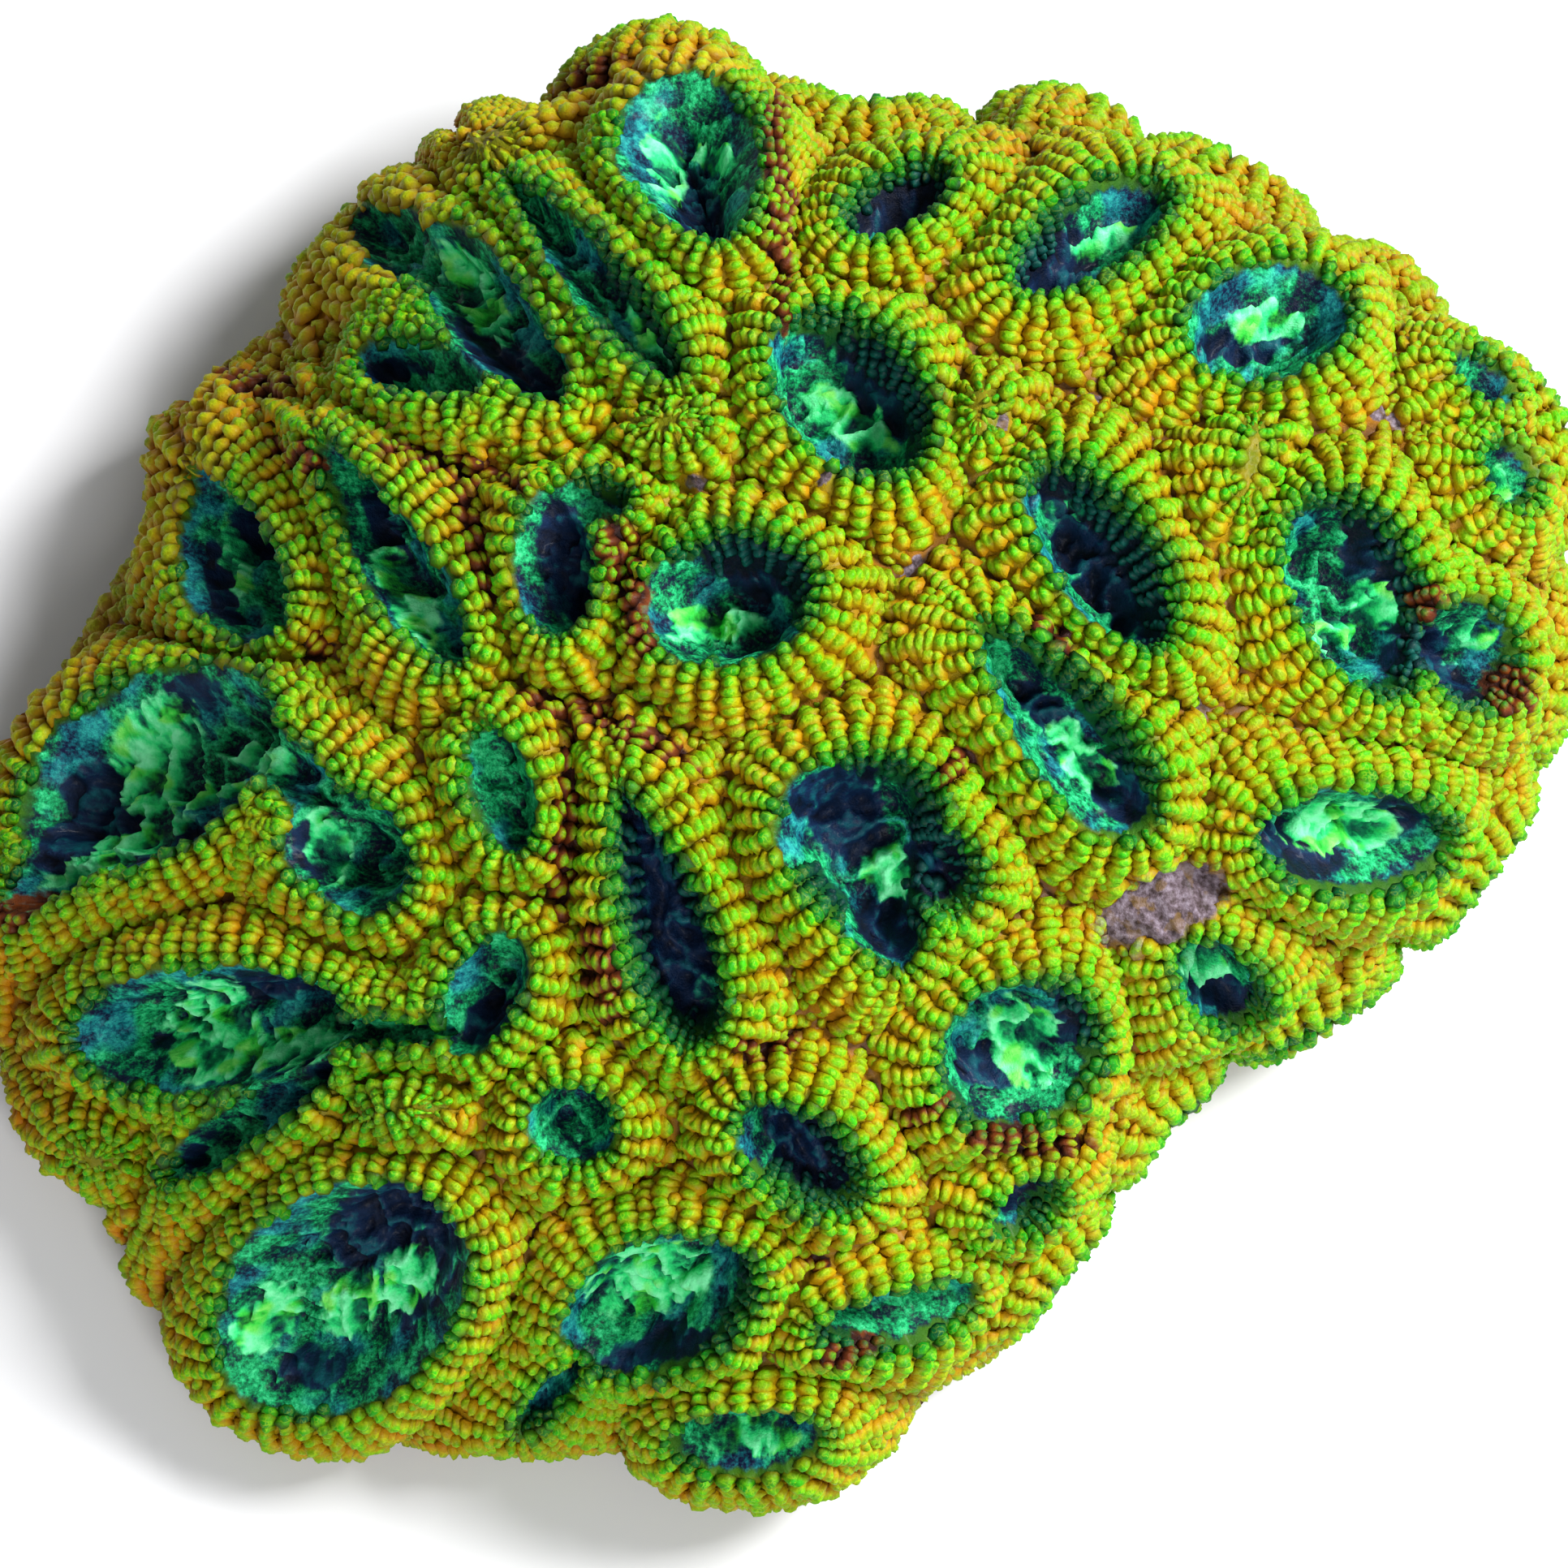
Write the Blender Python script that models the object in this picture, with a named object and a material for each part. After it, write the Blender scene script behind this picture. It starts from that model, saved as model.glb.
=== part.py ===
"""Brain coral: one dome-shaped colony, cut off flat where it grew on the rock.

The body is a smooth dome with a thin margin on its left and a steep flank on its right. Cups sink
into it, each with a raised wall round it, and ridges run out of every cup, over its wall and down
to the groove that parts it from its neighbours. Tables are in millimetres and degrees.
"""

import math

import bpy
import numpy as np
from mathutils import Vector
from mathutils.geometry import delaunay_2d_cdt

MM = 0.001
TAU = 2.0 * math.pi

# The layout is drawn square to a line of sight that rises from the front of the colony
SIGHT_RISE = 75.0
SIGHT_LENGTH = 500.0
LAYOUT_CENTRE = (-1.0, -2.5, 14.0)

# The dome, in steps of 45 degrees from +X towards +Y
DOME_TOP = 25.0
RIM_HEIGHT = (11.5, 12.5, 9.5, 3.8, 2.8, 2.6, 4.0, 9.5)
SHOULDER = (2.35, 2.3, 2.2, 1.9, 1.75, 1.75, 1.9, 2.15)
FULLNESS = (1.85, 1.85, 1.7, 1.3, 1.15, 1.2, 1.4, 1.7)
UNDERCUT = (0.07, 0.07, 0.05, 0.03, 0.02, 0.02, 0.03, 0.07)
SWELL = 0.5
SWELL_FROM = 8.0

# The colony's outline on the layout, anticlockwise from its right-hand side
OUTLINE = (
    (32.7, 8.8), (32.8, 12.2), (31.6, 15.2), (30.0, 17.4), (27.4, 18.8), (25.6, 21.4),
    (23.0, 22.7), (19.6, 24.7), (16.5, 26.1), (13.1, 27.6), (11.1, 28.4), (9.0, 27.6),
    (4.6, 27.3), (1.3, 27.4), (-1.0, 29.2), (-3.6, 30.8), (-5.7, 31.0), (-7.6, 30.2),
    (-9.1, 28.9), (-14.0, 27.4), (-16.2, 25.8), (-17.4, 23.6), (-20.7, 20.3), (-22.6, 18.0),
    (-26.0, 15.4), (-26.6, 10.9), (-28.6, 8.6), (-30.4, 5.2), (-33.0, 1.2), (-34.0, -4.0),
    (-34.0, -9.0), (-33.0, -13.2), (-31.4, -15.3), (-28.5, -17.0), (-27.2, -20.6),
    (-25.3, -24.0), (-22.7, -26.4), (-17.3, -27.8), (-11.1, -26.9), (-7.8, -27.4),
    (-5.6, -29.0), (-0.7, -29.7), (1.8, -29.4), (4.2, -27.9), (5.9, -26.2), (8.0, -23.4),
    (11.4, -19.2), (13.8, -16.4), (14.9, -13.8), (18.2, -10.8), (23.3, -8.2), (26.4, -5.8),
    (29.8, -1.8), (31.8, 2.6),
)

# Cups on the layout: group, across, up, half length, half width, turn of the length, taper.
# Cups of one group run into each other. Taper widens a cup along its length.
CUPS = (
    (1, -3.8, 26.1, 3.9, 2.9, -70, -0.30),
    (2, -8.2, 21.6, 5.9, 1.4, -50, 0.45),
    (3, -12.4, 19.8, 5.0, 2.1, -52, 0.0),
    (3, -15.9, 22.4, 2.6, 1.7, -40, 0.0),
    (3, -15.0, 17.1, 3.0, 1.4, -10, 0.0),
    (4, -22.9, 9.6, 3.9, 2.2, -75, 0.35),
    (5, -16.2, 9.6, 5.5, 1.7, -60, 0.25),
    (6, -9.3, 9.0, 3.3, 1.8, -85, 0.0),
    (6, -7.9, 11.6, 1.8, 1.2, 10, 0.0),
    (7, -2.3, 7.7, 3.8, 2.9, 10, 0.0),
    (8, 2.8, 16.1, 4.2, 3.1, -45, 0.0),
    (9, 4.8, 24.0, 2.9, 1.5, 25, 0.0),
    (10, 12.9, 22.8, 4.1, 2.1, 32, 0.0),
    (11, 20.2, 19.2, 3.7, 2.6, 10, 0.0),
    (12, 29.0, 16.7, 1.5, 0.8, -35, 0.0),
    (13, 30.0, 12.9, 1.6, 1.1, -70, 0.0),
    (14, 23.9, 7.9, 4.7, 2.9, -65, 0.0),
    (14, 28.4, 5.4, 2.5, 2.2, -60, 0.0),
    (16, 13.2, 9.6, 4.7, 2.3, -55, 0.0),
    (17, 11.8, 2.4, 5.4, 2.2, -50, 0.20),
    (18, 3.7, -3.2, 4.6, 3.3, -75, -0.42),
    (18, 6.3, -3.4, 2.2, 1.8, -60, 0.0),
    (19, 23.9, -2.2, 4.3, 2.3, 0, 0.0),
    (20, 18.1, -8.1, 2.5, 1.8, -30, 0.0),
    (21, 9.7, -11.2, 3.8, 3.0, 30, 0.0),
    (22, 9.9, -17.4, 1.9, 1.1, 40, 0.0),
    (23, 0.7, -15.5, 3.1, 2.0, -40, 0.0),
    (24, -8.8, -14.1, 2.0, 1.8, 0, 0.0),
    (25, -5.0, -5.6, 5.6, 2.1, -72, 0.40),
    (26, -11.7, -0.3, 2.9, 1.5, -75, 0.0),
    (27, -12.5, -8.8, 2.9, 1.7, 60, 0.0),
    (27, -23.8, -10.3, 6.4, 2.8, 5, 0.0),
    (27, -17.0, -10.4, 3.4, 0.9, 0, 0.0),
    (27, -22.2, -14.1, 4.6, 1.2, 36, 0.0),
    (28, -18.0, -2.8, 2.9, 2.5, -40, 0.0),
    (28, -26.6, 0.5, 6.4, 3.8, 30, 0.0),
    (28, -20.6, 0.6, 3.2, 1.3, -35, 0.0),
    (28, -29.8, -3.4, 3.4, 1.5, 35, 0.0),
    (30, -18.6, -21.6, 6.1, 4.4, 38, 0.0),
    (31, -5.2, -21.7, 4.1, 3.1, 20, 0.0),
    (31, -9.8, -25.2, 2.2, 0.9, 40, 0.0),
    (32, 4.6, -22.1, 3.5, 1.4, 18, 0.0),
    (33, -1.6, -27.2, 3.2, 1.4, 4, 0.0),
)

# Solid mounds, which have ridges and no opening, in the same columns
MOUNDS = (
    (41, -4.6, 14.9, 1.3, 0.9, 0, 0.0),
    (42, -16.0, -13.6, 1.6, 0.8, 10, 0.0),
    (43, -28.4, -15.2, 1.2, 0.8, -20, 0.0),
    (44, 8.2, 15.2, 0.9, 0.7, 90, 0.0),
    (45, 19.4, 13.2, 1.6, 0.7, 80, 0.0),
    (46, -12.0, 26.4, 1.5, 0.7, 30, 0.0),
)

# Cups on the steep flank: group, bearing, height, half length, half width, turn from level, taper
FLANK_CUPS = (
    (61, 24.0, 9.6, 3.3, 2.5, 15, 0.0),
    (62, 8.0, 7.6, 3.5, 2.6, -10, 0.0),
    (63, -9.0, 8.6, 3.2, 2.5, 10, 0.0),
    (64, -26.0, 6.9, 3.4, 2.4, -15, 0.0),
    (65, -45.0, 6.4, 3.2, 2.3, 12, 0.0),
    (66, -63.0, 5.0, 2.8, 1.9, -8, 0.0),
    (67, 38.0, 8.4, 3.4, 2.6, -12, 0.0),
    (68, 53.0, 9.8, 3.3, 2.5, 20, 0.0),
    (69, 68.0, 8.4, 3.4, 2.5, -8, 0.0),
    (70, 84.0, 9.2, 3.1, 2.4, 12, 0.0),
    (71, 100.0, 6.6, 2.9, 2.1, -10, 0.0),
)

# Walls, cups and ridges
CREST = 1.0
GROOVE = -0.55
WALL_REACH = 4.8
FULL_WALL = 1.7
WALL_CURVE = 2.4
CUP_DEPTH = (1.8, 3.6)
DEPTH_PER_WIDTH = 1.25
INNER_SLOPE = 2.3
INNER_SHARE = 0.82
MOUND_RISE = 0.5
RIDGE_PITCH = 1.75
RIDGE_HALF_HEIGHT = 0.4
LEAST_FACING = 0.42

# Where the rows of the mesh lie: ridges are spaced at PITCH_AT from a cup's edge
PITCH_AT = 1.2
CREST_AT = 0.12
OUTER_AT = 0.58
INNER_AT = 0.5
OUTER_RIDGE = 0.9
INNER_RIDGE = 0.5
NARROWEST_WALL = 0.3
NARROW_WALL = 1.1
INTO_CUP = 0.25
ROW_SPACING = {
    "crest": 0.42, "outer": 0.42, "inner": 0.55, "groove": 0.95, "floor": 0.8, "middle": 1.1,
}

# The mesh and the tables behind it
TAPER_HOLD = 1.2
MARCH = 0.15
PROFILE_STEPS = 400
EASE_COLUMNS = 4
COLUMNS = 720
ROWS = 240
FOOT_PITCH = 1.45
FOOT_SCALLOP = 0.25
LEAST_SPACING = 0.42
FOOT_CLEARANCE = 0.55
FILL_PITCH = 1.7
LOWEST_SKIN = 0.3


def turned(values, bearings):
    """Values given every 45 degrees, blended smoothly at the bearings."""
    at = np.mod(bearings, TAU) / TAU * len(values)
    low = np.floor(at).astype(int) % len(values)
    blend = 0.5 - 0.5 * np.cos(math.pi * (at - np.floor(at)))
    ring = np.array(values)
    return ring[low] * (1.0 - blend) + ring[(low + 1) % len(values)] * blend


def sight_axes():
    """Across, up and towards the eye, as the layout is drawn."""
    rise = math.radians(SIGHT_RISE)
    across = np.array((1.0, 0.0, 0.0))
    up = np.array((0.0, math.sin(rise), math.cos(rise)))
    return across, up, np.cross(across, up)


def lift(across, up, height):
    """Plan position of a layout point that lies at a height."""
    rise = math.radians(SIGHT_RISE)
    middle_x, middle_y, middle_z = LAYOUT_CENTRE
    lifted = height - middle_z
    y = middle_y + up
    for _ in range(8):
        nearer = lifted * math.sin(rise) - (y - middle_y) * math.cos(rise)
        shrink = 1.0 - nearer / SIGHT_LENGTH
        y = middle_y + (up * shrink - lifted * math.cos(rise)) / math.sin(rise)
    return middle_x + across * shrink, y


def swell(x, y):
    """Slow rise and fall of the dome."""
    return SWELL * np.sin(x / 7.0 + 0.6) * np.sin(y / 6.0 + 1.9)


class Dome:
    """The colony's smooth body, charted by bearing and by distance along the surface."""

    def __init__(self):
        bearing = np.arange(COLUMNS) * TAU / COLUMNS
        self.rim = turned(RIM_HEIGHT, bearing)
        self.radius = self.outline_radius(bearing)
        shoulder = turned(SHOULDER, bearing)
        fullness = turned(FULLNESS, bearing)
        lean = np.linspace(0.0, 0.5 * math.pi, PROFILE_STEPS)[:, None]
        top_radius = self.radius * np.sin(lean) ** (2.0 / shoulder)
        top_height = self.rim + (DOME_TOP - self.rim) * np.cos(lean) ** (2.0 / fullness)
        drop = np.linspace(0.0, 1.0, PROFILE_STEPS)[1:, None]
        undercut = turned(UNDERCUT, bearing)
        side_radius = self.radius * (1.0 - undercut * drop**1.5)
        side_height = self.rim * (1.0 - drop)
        radius = np.vstack((top_radius, side_radius))
        height = np.vstack((top_height, side_height))
        steps = np.hypot(np.diff(radius, axis=0), np.diff(height, axis=0))
        along = np.vstack((np.zeros(COLUMNS), np.cumsum(steps, axis=0)))
        self.length = along[-1]
        share = np.linspace(0.0, 1.0, ROWS)
        self.share_at_rim = along[len(lean) - 1] / self.length
        self.radii = np.empty((ROWS, COLUMNS))
        self.heights = np.empty((ROWS, COLUMNS))
        for n in range(COLUMNS):
            self.radii[:, n] = np.interp(share * self.length[n], along[:, n], radius[:, n])
            self.heights[:, n] = np.interp(share * self.length[n], along[:, n], height[:, n])

    def outline_radius(self, bearing):
        """Radius of the outline at each bearing, with its corners eased."""
        points = np.array(OUTLINE)
        angle = np.arctan2(points[:, 1], points[:, 0])
        for _ in range(4):
            x, y = lift(points[:, 0], points[:, 1], turned(RIM_HEIGHT, angle))
            angle = np.arctan2(y, x)
        order = np.argsort(np.mod(angle, TAU))
        radius = np.interp(bearing, np.mod(angle, TAU)[order], np.hypot(x, y)[order], period=TAU)
        reach = 3 * EASE_COLUMNS
        ease = np.exp(-0.5 * (np.arange(-reach, reach + 1) / EASE_COLUMNS) ** 2)
        padded = np.concatenate((radius[-reach:], radius, radius[:reach]))
        return np.convolve(padded, ease / ease.sum(), mode="valid")

    def column(self, table, bearing):
        """A one-row table at the bearings."""
        at = np.mod(bearing, TAU) / TAU * COLUMNS
        low = np.floor(at).astype(int) % COLUMNS
        part = at - np.floor(at)
        return table[low] * (1.0 - part) + table[(low + 1) % COLUMNS] * part

    def at(self, chart):
        """Points of the body at chart positions."""
        bearing = np.arctan2(chart[:, 1], chart[:, 0])
        share = np.hypot(chart[:, 0], chart[:, 1]) / self.column(self.length, bearing)
        share = np.clip(share, 0.0, 1.0)
        row = np.minimum((share * (ROWS - 1)).astype(int), ROWS - 2)
        part = share * (ROWS - 1) - row
        column = np.mod(bearing, TAU) / TAU * COLUMNS
        left = np.floor(column).astype(int) % COLUMNS
        right = (left + 1) % COLUMNS
        side = column - np.floor(column)
        found = []
        for table in (self.radii, self.heights):
            near = table[row, left] * (1 - side) + table[row, right] * side
            far = table[row + 1, left] * (1 - side) + table[row + 1, right] * side
            found.append(near * (1 - part) + far * part)
        x = found[0] * np.cos(bearing)
        y = found[0] * np.sin(bearing)
        calm = np.clip(found[1] / SWELL_FROM, 0.0, 1.0)
        return np.column_stack((x, y, found[1] + calm * swell(x, y)))

    def normal(self, chart):
        """Outward directions at chart positions."""
        step = 0.15
        east = self.at(chart + (step, 0.0)) - self.at(chart - (step, 0.0))
        north = self.at(chart + (0.0, step)) - self.at(chart - (0.0, step))
        out = np.cross(east, north)
        return out / np.linalg.norm(out, axis=1, keepdims=True)

    def to_foot(self, chart):
        """Distance along the surface from chart positions to the cut."""
        bearing = np.arctan2(chart[:, 1], chart[:, 0])
        return self.column(self.length, bearing) - np.hypot(chart[:, 0], chart[:, 1])

    def chart_of_plan(self, x, y):
        """Chart position over a plan position."""
        bearing = math.atan2(y, x)
        n = int(round(bearing / TAU * COLUMNS)) % COLUMNS
        top = int(self.share_at_rim[n] * (ROWS - 1))
        radius = min(math.hypot(x, y), self.radii[top, n])
        share = np.interp(radius, self.radii[: top + 1, n], np.linspace(0, 1, ROWS)[: top + 1])
        reach = share * self.length[n]
        return np.array((reach * math.cos(bearing), reach * math.sin(bearing)))

    def chart_of_layout(self, across, up):
        """Chart position under a layout point."""
        height = DOME_TOP
        for _ in range(40):
            x, y = lift(across, up, height)
            chart = self.chart_of_plan(x, y)
            height += 0.5 * (self.at(chart[None])[0, 2] - height)
        return chart

    def chart_of_flank(self, bearing, height):
        """Chart position on the flank, at a height above the cut."""
        n = int(round(math.radians(bearing) / TAU * COLUMNS)) % COLUMNS
        low_first = self.heights[::-1, n]
        share = np.interp(height, low_first, np.linspace(1.0, 0.0, ROWS))
        reach = share * self.length[n]
        turn = math.radians(bearing)
        return np.array((reach * math.cos(turn), reach * math.sin(turn)))


class Cup:
    """One cup or mound: where it lies, its oval and how deep it is."""

    def __init__(self, dome, row, place):
        self.group, first, second, length, width, turn, self.taper = row
        self.chart = dome.chart_of_flank(first, second) if place == "flank" else (
            dome.chart_of_layout(first, second)
        )
        self.centre = dome.at(self.chart[None])[0]
        self.out = dome.normal(self.chart[None])[0]
        turn = math.radians(turn)
        oval = np.array((
            (length * math.cos(turn), -width * math.sin(turn)),
            (length * math.sin(turn), width * math.cos(turn)),
        ))
        across, up, _ = sight_axes()
        if place == "flank":
            across = np.cross((0.0, 0.0, 1.0), self.out)
        self.east = across - across.dot(self.out) * self.out
        self.east /= np.linalg.norm(self.east)
        self.north = np.cross(self.out, self.east)
        if place != "flank":
            oval = np.linalg.solve(self.seen(across, up), oval)
        self.oval = oval
        self.from_oval = np.linalg.inv(oval)
        self.half_length = np.linalg.norm(oval[:, 0])
        self.half_width = np.linalg.norm(oval[:, 1])
        width = min(self.half_length, self.half_width)
        least, most = CUP_DEPTH
        self.depth = min(max(DEPTH_PER_WIDTH * width, least), most)
        self.inner = min(INNER_SLOPE, INNER_SHARE * width)
        if place == "mound":
            self.depth = -MOUND_RISE

    def seen(self, across, up):
        """How the surface's own axes look on the layout, never flatter than LEAST_FACING."""
        view = np.array((
            (self.east.dot(across), self.north.dot(across)),
            (self.east.dot(up), self.north.dot(up)),
        ))
        left, size, right = np.linalg.svd(view)
        return left @ np.diag(np.maximum(size, LEAST_FACING)) @ right

    def local(self, points):
        """Positions beside the centre, on the surface's own axes."""
        away = points - self.centre
        flat = np.column_stack((away @ self.east, away @ self.north))
        size = np.linalg.norm(flat, axis=1)
        stretch = np.linalg.norm(away, axis=1) / np.maximum(size, 1e-6)
        return flat * np.where(size > 1e-6, stretch, 1.0)[:, None]

    def distance(self, points):
        """Distance outside the oval's edge, negative inside."""
        along, side = (self.local(points) @ self.from_oval.T).T
        held = np.clip(along, -TAPER_HOLD, TAPER_HOLD)
        widen = 1.0 + self.taper * held
        side = side / widen
        size = np.maximum(np.hypot(along, side), 1e-3)
        free = np.abs(along) < TAPER_HOLD
        narrowing = np.where(free, side * self.taper / widen, 0.0)
        slope = np.column_stack((along - side * narrowing, side / widen)) / size[:, None]
        steepness = np.linalg.norm(slope @ self.from_oval, axis=1)
        return (size - 1.0) / np.maximum(steepness, 1e-6)

    def edge(self, angles, inward=0.0):
        """Points of the oval's edge on the surface's own axes, or of an oval inside it."""
        along = np.cos(angles) * (1.0 - inward / self.half_length)
        across = np.sin(angles) * (1.0 - inward / self.half_width)
        side = across * (1.0 + self.taper * along)
        return np.column_stack((along, side)) @ self.oval.T

    def away(self, angles):
        """Outward directions at the oval's edge, on the surface's own axes."""
        step = 0.01
        run = self.edge(angles + step) - self.edge(angles - step)
        turned_right = np.column_stack((run[:, 1], -run[:, 0]))
        if np.linalg.det(self.oval) < 0.0:
            turned_right = -turned_right
        return turned_right / np.linalg.norm(turned_right, axis=1, keepdims=True)

    def even_angles(self, pitch):
        """Angles that space an even number of lines evenly halfway up the wall."""
        fine = np.linspace(0.0, TAU, 241)
        ring = self.edge(fine) + PITCH_AT * self.away(fine)
        steps = np.linalg.norm(np.diff(ring, axis=0), axis=1)
        along = np.concatenate(((0.0,), np.cumsum(steps)))
        count = 2 * max(4, round(along[-1] / pitch))
        return np.interp(np.arange(count) / count * along[-1], along, fine)

    def to_chart(self, dome, flat):
        """Chart positions of points given on the surface's own axes."""
        chart = self.chart + np.zeros_like(flat)
        step = 0.05
        for _ in range(7):
            here = self.local(dome.at(chart))
            east = (self.local(dome.at(chart + (step, 0.0))) - here) / step
            north = (self.local(dome.at(chart + (0.0, step))) - here) / step
            miss = flat - here
            size = east[:, 0] * north[:, 1] - east[:, 1] * north[:, 0]
            size = np.where(np.abs(size) < 0.05, 0.05, size)
            move_x = (miss[:, 0] * north[:, 1] - miss[:, 1] * north[:, 0]) / size
            move_y = (east[:, 0] * miss[:, 1] - east[:, 1] * miss[:, 0]) / size
            chart = chart + np.clip(np.column_stack((move_x, move_y)), -3.0, 3.0)
        return chart


def groups_of(cups):
    """Each cup's group as a small number."""
    names = sorted({cup.group for cup in cups})
    return np.array([names.index(cup.group) for cup in cups])


def nearest(cups, points):
    """Nearest cup, distance to its edge, and distance to the edge of another group's."""
    distances = np.column_stack([cup.distance(points) for cup in cups])
    group = groups_of(cups)
    first = distances.argmin(axis=1)
    other = np.where(group[None, :] == group[first][:, None], np.inf, distances)
    rows = np.arange(len(points))
    return first, distances[rows, first], other.min(axis=1)


def relief(cups, points):
    """Height of the coral over the smooth dome, without its ridges."""
    first, near, far = nearest(cups, points)
    wall = np.clip(0.5 * (near + far), NARROWEST_WALL, WALL_REACH)
    crest = CREST * np.minimum(1.0, wall / FULL_WALL) ** 0.5
    across = np.clip(near / wall, 0.0, 1.0)
    outside = GROOVE + (crest - GROOVE) * (1.0 - across**WALL_CURVE)
    depth = np.array([cup.depth for cup in cups])[first]
    inner = np.array([cup.inner for cup in cups])[first]
    down = np.clip(-near / inner, 0.0, 1.0)
    inside = crest - depth * down**1.5 * (2.5 - 1.5 * down)
    return np.where(near > 0.0, outside, inside)


def wall_reach(dome, cups, cup, own, angles):
    """How far each line runs from the edge of a cup before it meets a groove or the cut."""
    reach = np.full(len(angles), WALL_REACH)
    start = cup.edge(angles)
    away = cup.away(angles)
    group = groups_of(cups)
    open_line = np.ones(len(angles), bool)
    for out in np.arange(MARCH, WALL_REACH, MARCH):
        chart = cup.to_chart(dome, start + out * away)
        first, _, _ = nearest(cups, dome.at(chart))
        ends = (group[first] != group[own]) | (dome.to_foot(chart) < FOOT_CLEARANCE)
        reach = np.where(open_line & ends, out, reach)
        open_line &= ~ends
    return reach


class Points:
    """Chart positions with their ridge heights, kept a least distance apart."""

    def __init__(self):
        self.charts = []
        self.ridges = []
        self.cells = {}

    def add(self, chart, ridge, spacing=LEAST_SPACING):
        """Takes a position if nothing lies too near."""
        cell = (math.floor(chart[0] / LEAST_SPACING), math.floor(chart[1] / LEAST_SPACING))
        reach = math.ceil(spacing / LEAST_SPACING)
        for x in range(cell[0] - reach, cell[0] + reach + 1):
            for y in range(cell[1] - reach, cell[1] + reach + 1):
                for n in self.cells.get((x, y), ()):
                    if math.dist(self.charts[n], chart) < spacing:
                        return
        self.cells.setdefault(cell, []).append(len(self.charts))
        self.charts.append((float(chart[0]), float(chart[1])))
        self.ridges.append(ridge)


def foot_ring(dome, points):
    """The edge of the cut: a closed ring of evenly spaced positions, a little scalloped."""
    perimeter = dome.radii[-1].mean() * TAU
    count = 2 * round(perimeter / FOOT_PITCH / 2)
    for n in range(count):
        bearing = TAU * n / count
        reach = dome.column(dome.length, np.array((bearing,)))[0]
        scallop = FOOT_SCALLOP if n % 2 else -FOOT_SCALLOP
        points.add((reach * math.cos(bearing), reach * math.sin(bearing)), scallop, 0.1)
    return count


def cup_points(dome, cups, points):
    """Rows of positions over every wall and down into every cup, crests before slopes."""
    rows = {"crest": [], "outer": [], "inner": [], "groove": [], "floor": [], "middle": []}
    for own, cup in enumerate(cups):
        angles = cup.even_angles(RIDGE_PITCH)
        side = np.where(np.arange(len(angles)) % 2, -1.0, 1.0)
        reach = wall_reach(dome, cups, cup, own, angles)
        away = cup.away(angles)
        edge = cup.edge(angles)
        wide = reach > NARROW_WALL
        some = reach > NARROWEST_WALL
        height = RIDGE_HALF_HEIGHT * side
        rows["crest"].append((own, edge + CREST_AT * away, height, some))
        outer = edge + (OUTER_AT * reach)[:, None] * away
        rows["outer"].append((own, outer, OUTER_RIDGE * height, wide))
        rows["groove"].append((own, edge + reach[:, None] * away, 0.0 * height, some))
        ridge = side > 0.0
        slope = cup.edge(angles, INNER_AT * cup.inner)
        rows["inner"].append((own, slope, INNER_RIDGE * height, ridge))
        floor = cup.edge(angles, cup.inner)
        rows["floor"].append((own, floor, 0.0 * height, ridge & (np.arange(len(ridge)) % 4 == 0)))
        spots = np.array(((0.0, 0.0), (0.4, 0.0), (-0.4, 0.0))) @ cup.oval.T
        rows["middle"].append((own, spots, np.zeros(3), np.array((True, True, True))))
    group = groups_of(cups)
    for name, parts in rows.items():
        for own, flat, height, keep in parts:
            chart = cups[own].to_chart(dome, flat)
            first, near, _ = nearest(cups, dome.at(chart))
            if name in ("crest", "outer"):
                keep = keep & (group[first] == group[own]) & (near > -INTO_CUP)
            keep = keep & (dome.to_foot(chart) > FOOT_CLEARANCE)
            for n in np.flatnonzero(keep):
                points.add(chart[n], height[n], ROW_SPACING[name])


def fill_points(dome, points):
    """Positions on the bare stretches between the walls."""
    reach = dome.length.max()
    steps = np.arange(-reach, reach, FILL_PITCH)
    for n, y in enumerate(steps):
        for x in steps + 0.5 * FILL_PITCH * (n % 2):
            chart = np.array(((x, y),))
            if dome.to_foot(chart)[0] > FILL_PITCH:
                points.add(chart[0], 0.0, FILL_PITCH)


def coral_mesh(dome, cups):
    """Vertices and triangles of the closed colony, in millimetres."""
    points = Points()
    foot = foot_ring(dome, points)
    cup_points(dome, cups, points)
    fill_points(dome, points)
    charts = np.array(points.charts)
    ridges = np.array(points.ridges)
    body = dome.at(charts)
    out = dome.normal(charts)
    height = relief(cups, body) + ridges
    ring = np.arange(len(charts)) < foot
    level = out * (1.0, 1.0, 0.0)
    level /= np.linalg.norm(level, axis=1, keepdims=True)
    out = np.where(ring[:, None], level, out)
    height = np.where(ring, np.maximum(height, 0.0), height)
    placed = body + height[:, None] * out
    placed[:, 2] = np.where(ring, 0.0, np.maximum(placed[:, 2], LOWEST_SKIN))
    edges = [(n, (n + 1) % foot) for n in range(foot)]
    flat = [Vector(place) for place in charts]
    _, _, top, origin, _, _ = delaunay_2d_cdt(flat, edges, [], 1, 1e-6)
    number = [kept[0] for kept in origin]
    top = [[number[n] for n in face] for face in top]
    base = [Vector(place[:2]) for place in placed[:foot]]
    _, _, under, origin, _, _ = delaunay_2d_cdt(base, edges, [], 1, 1e-6)
    number = [kept[0] for kept in origin]
    under = [[number[n] for n in reversed(face)] for face in under]
    return placed, top + under


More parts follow.
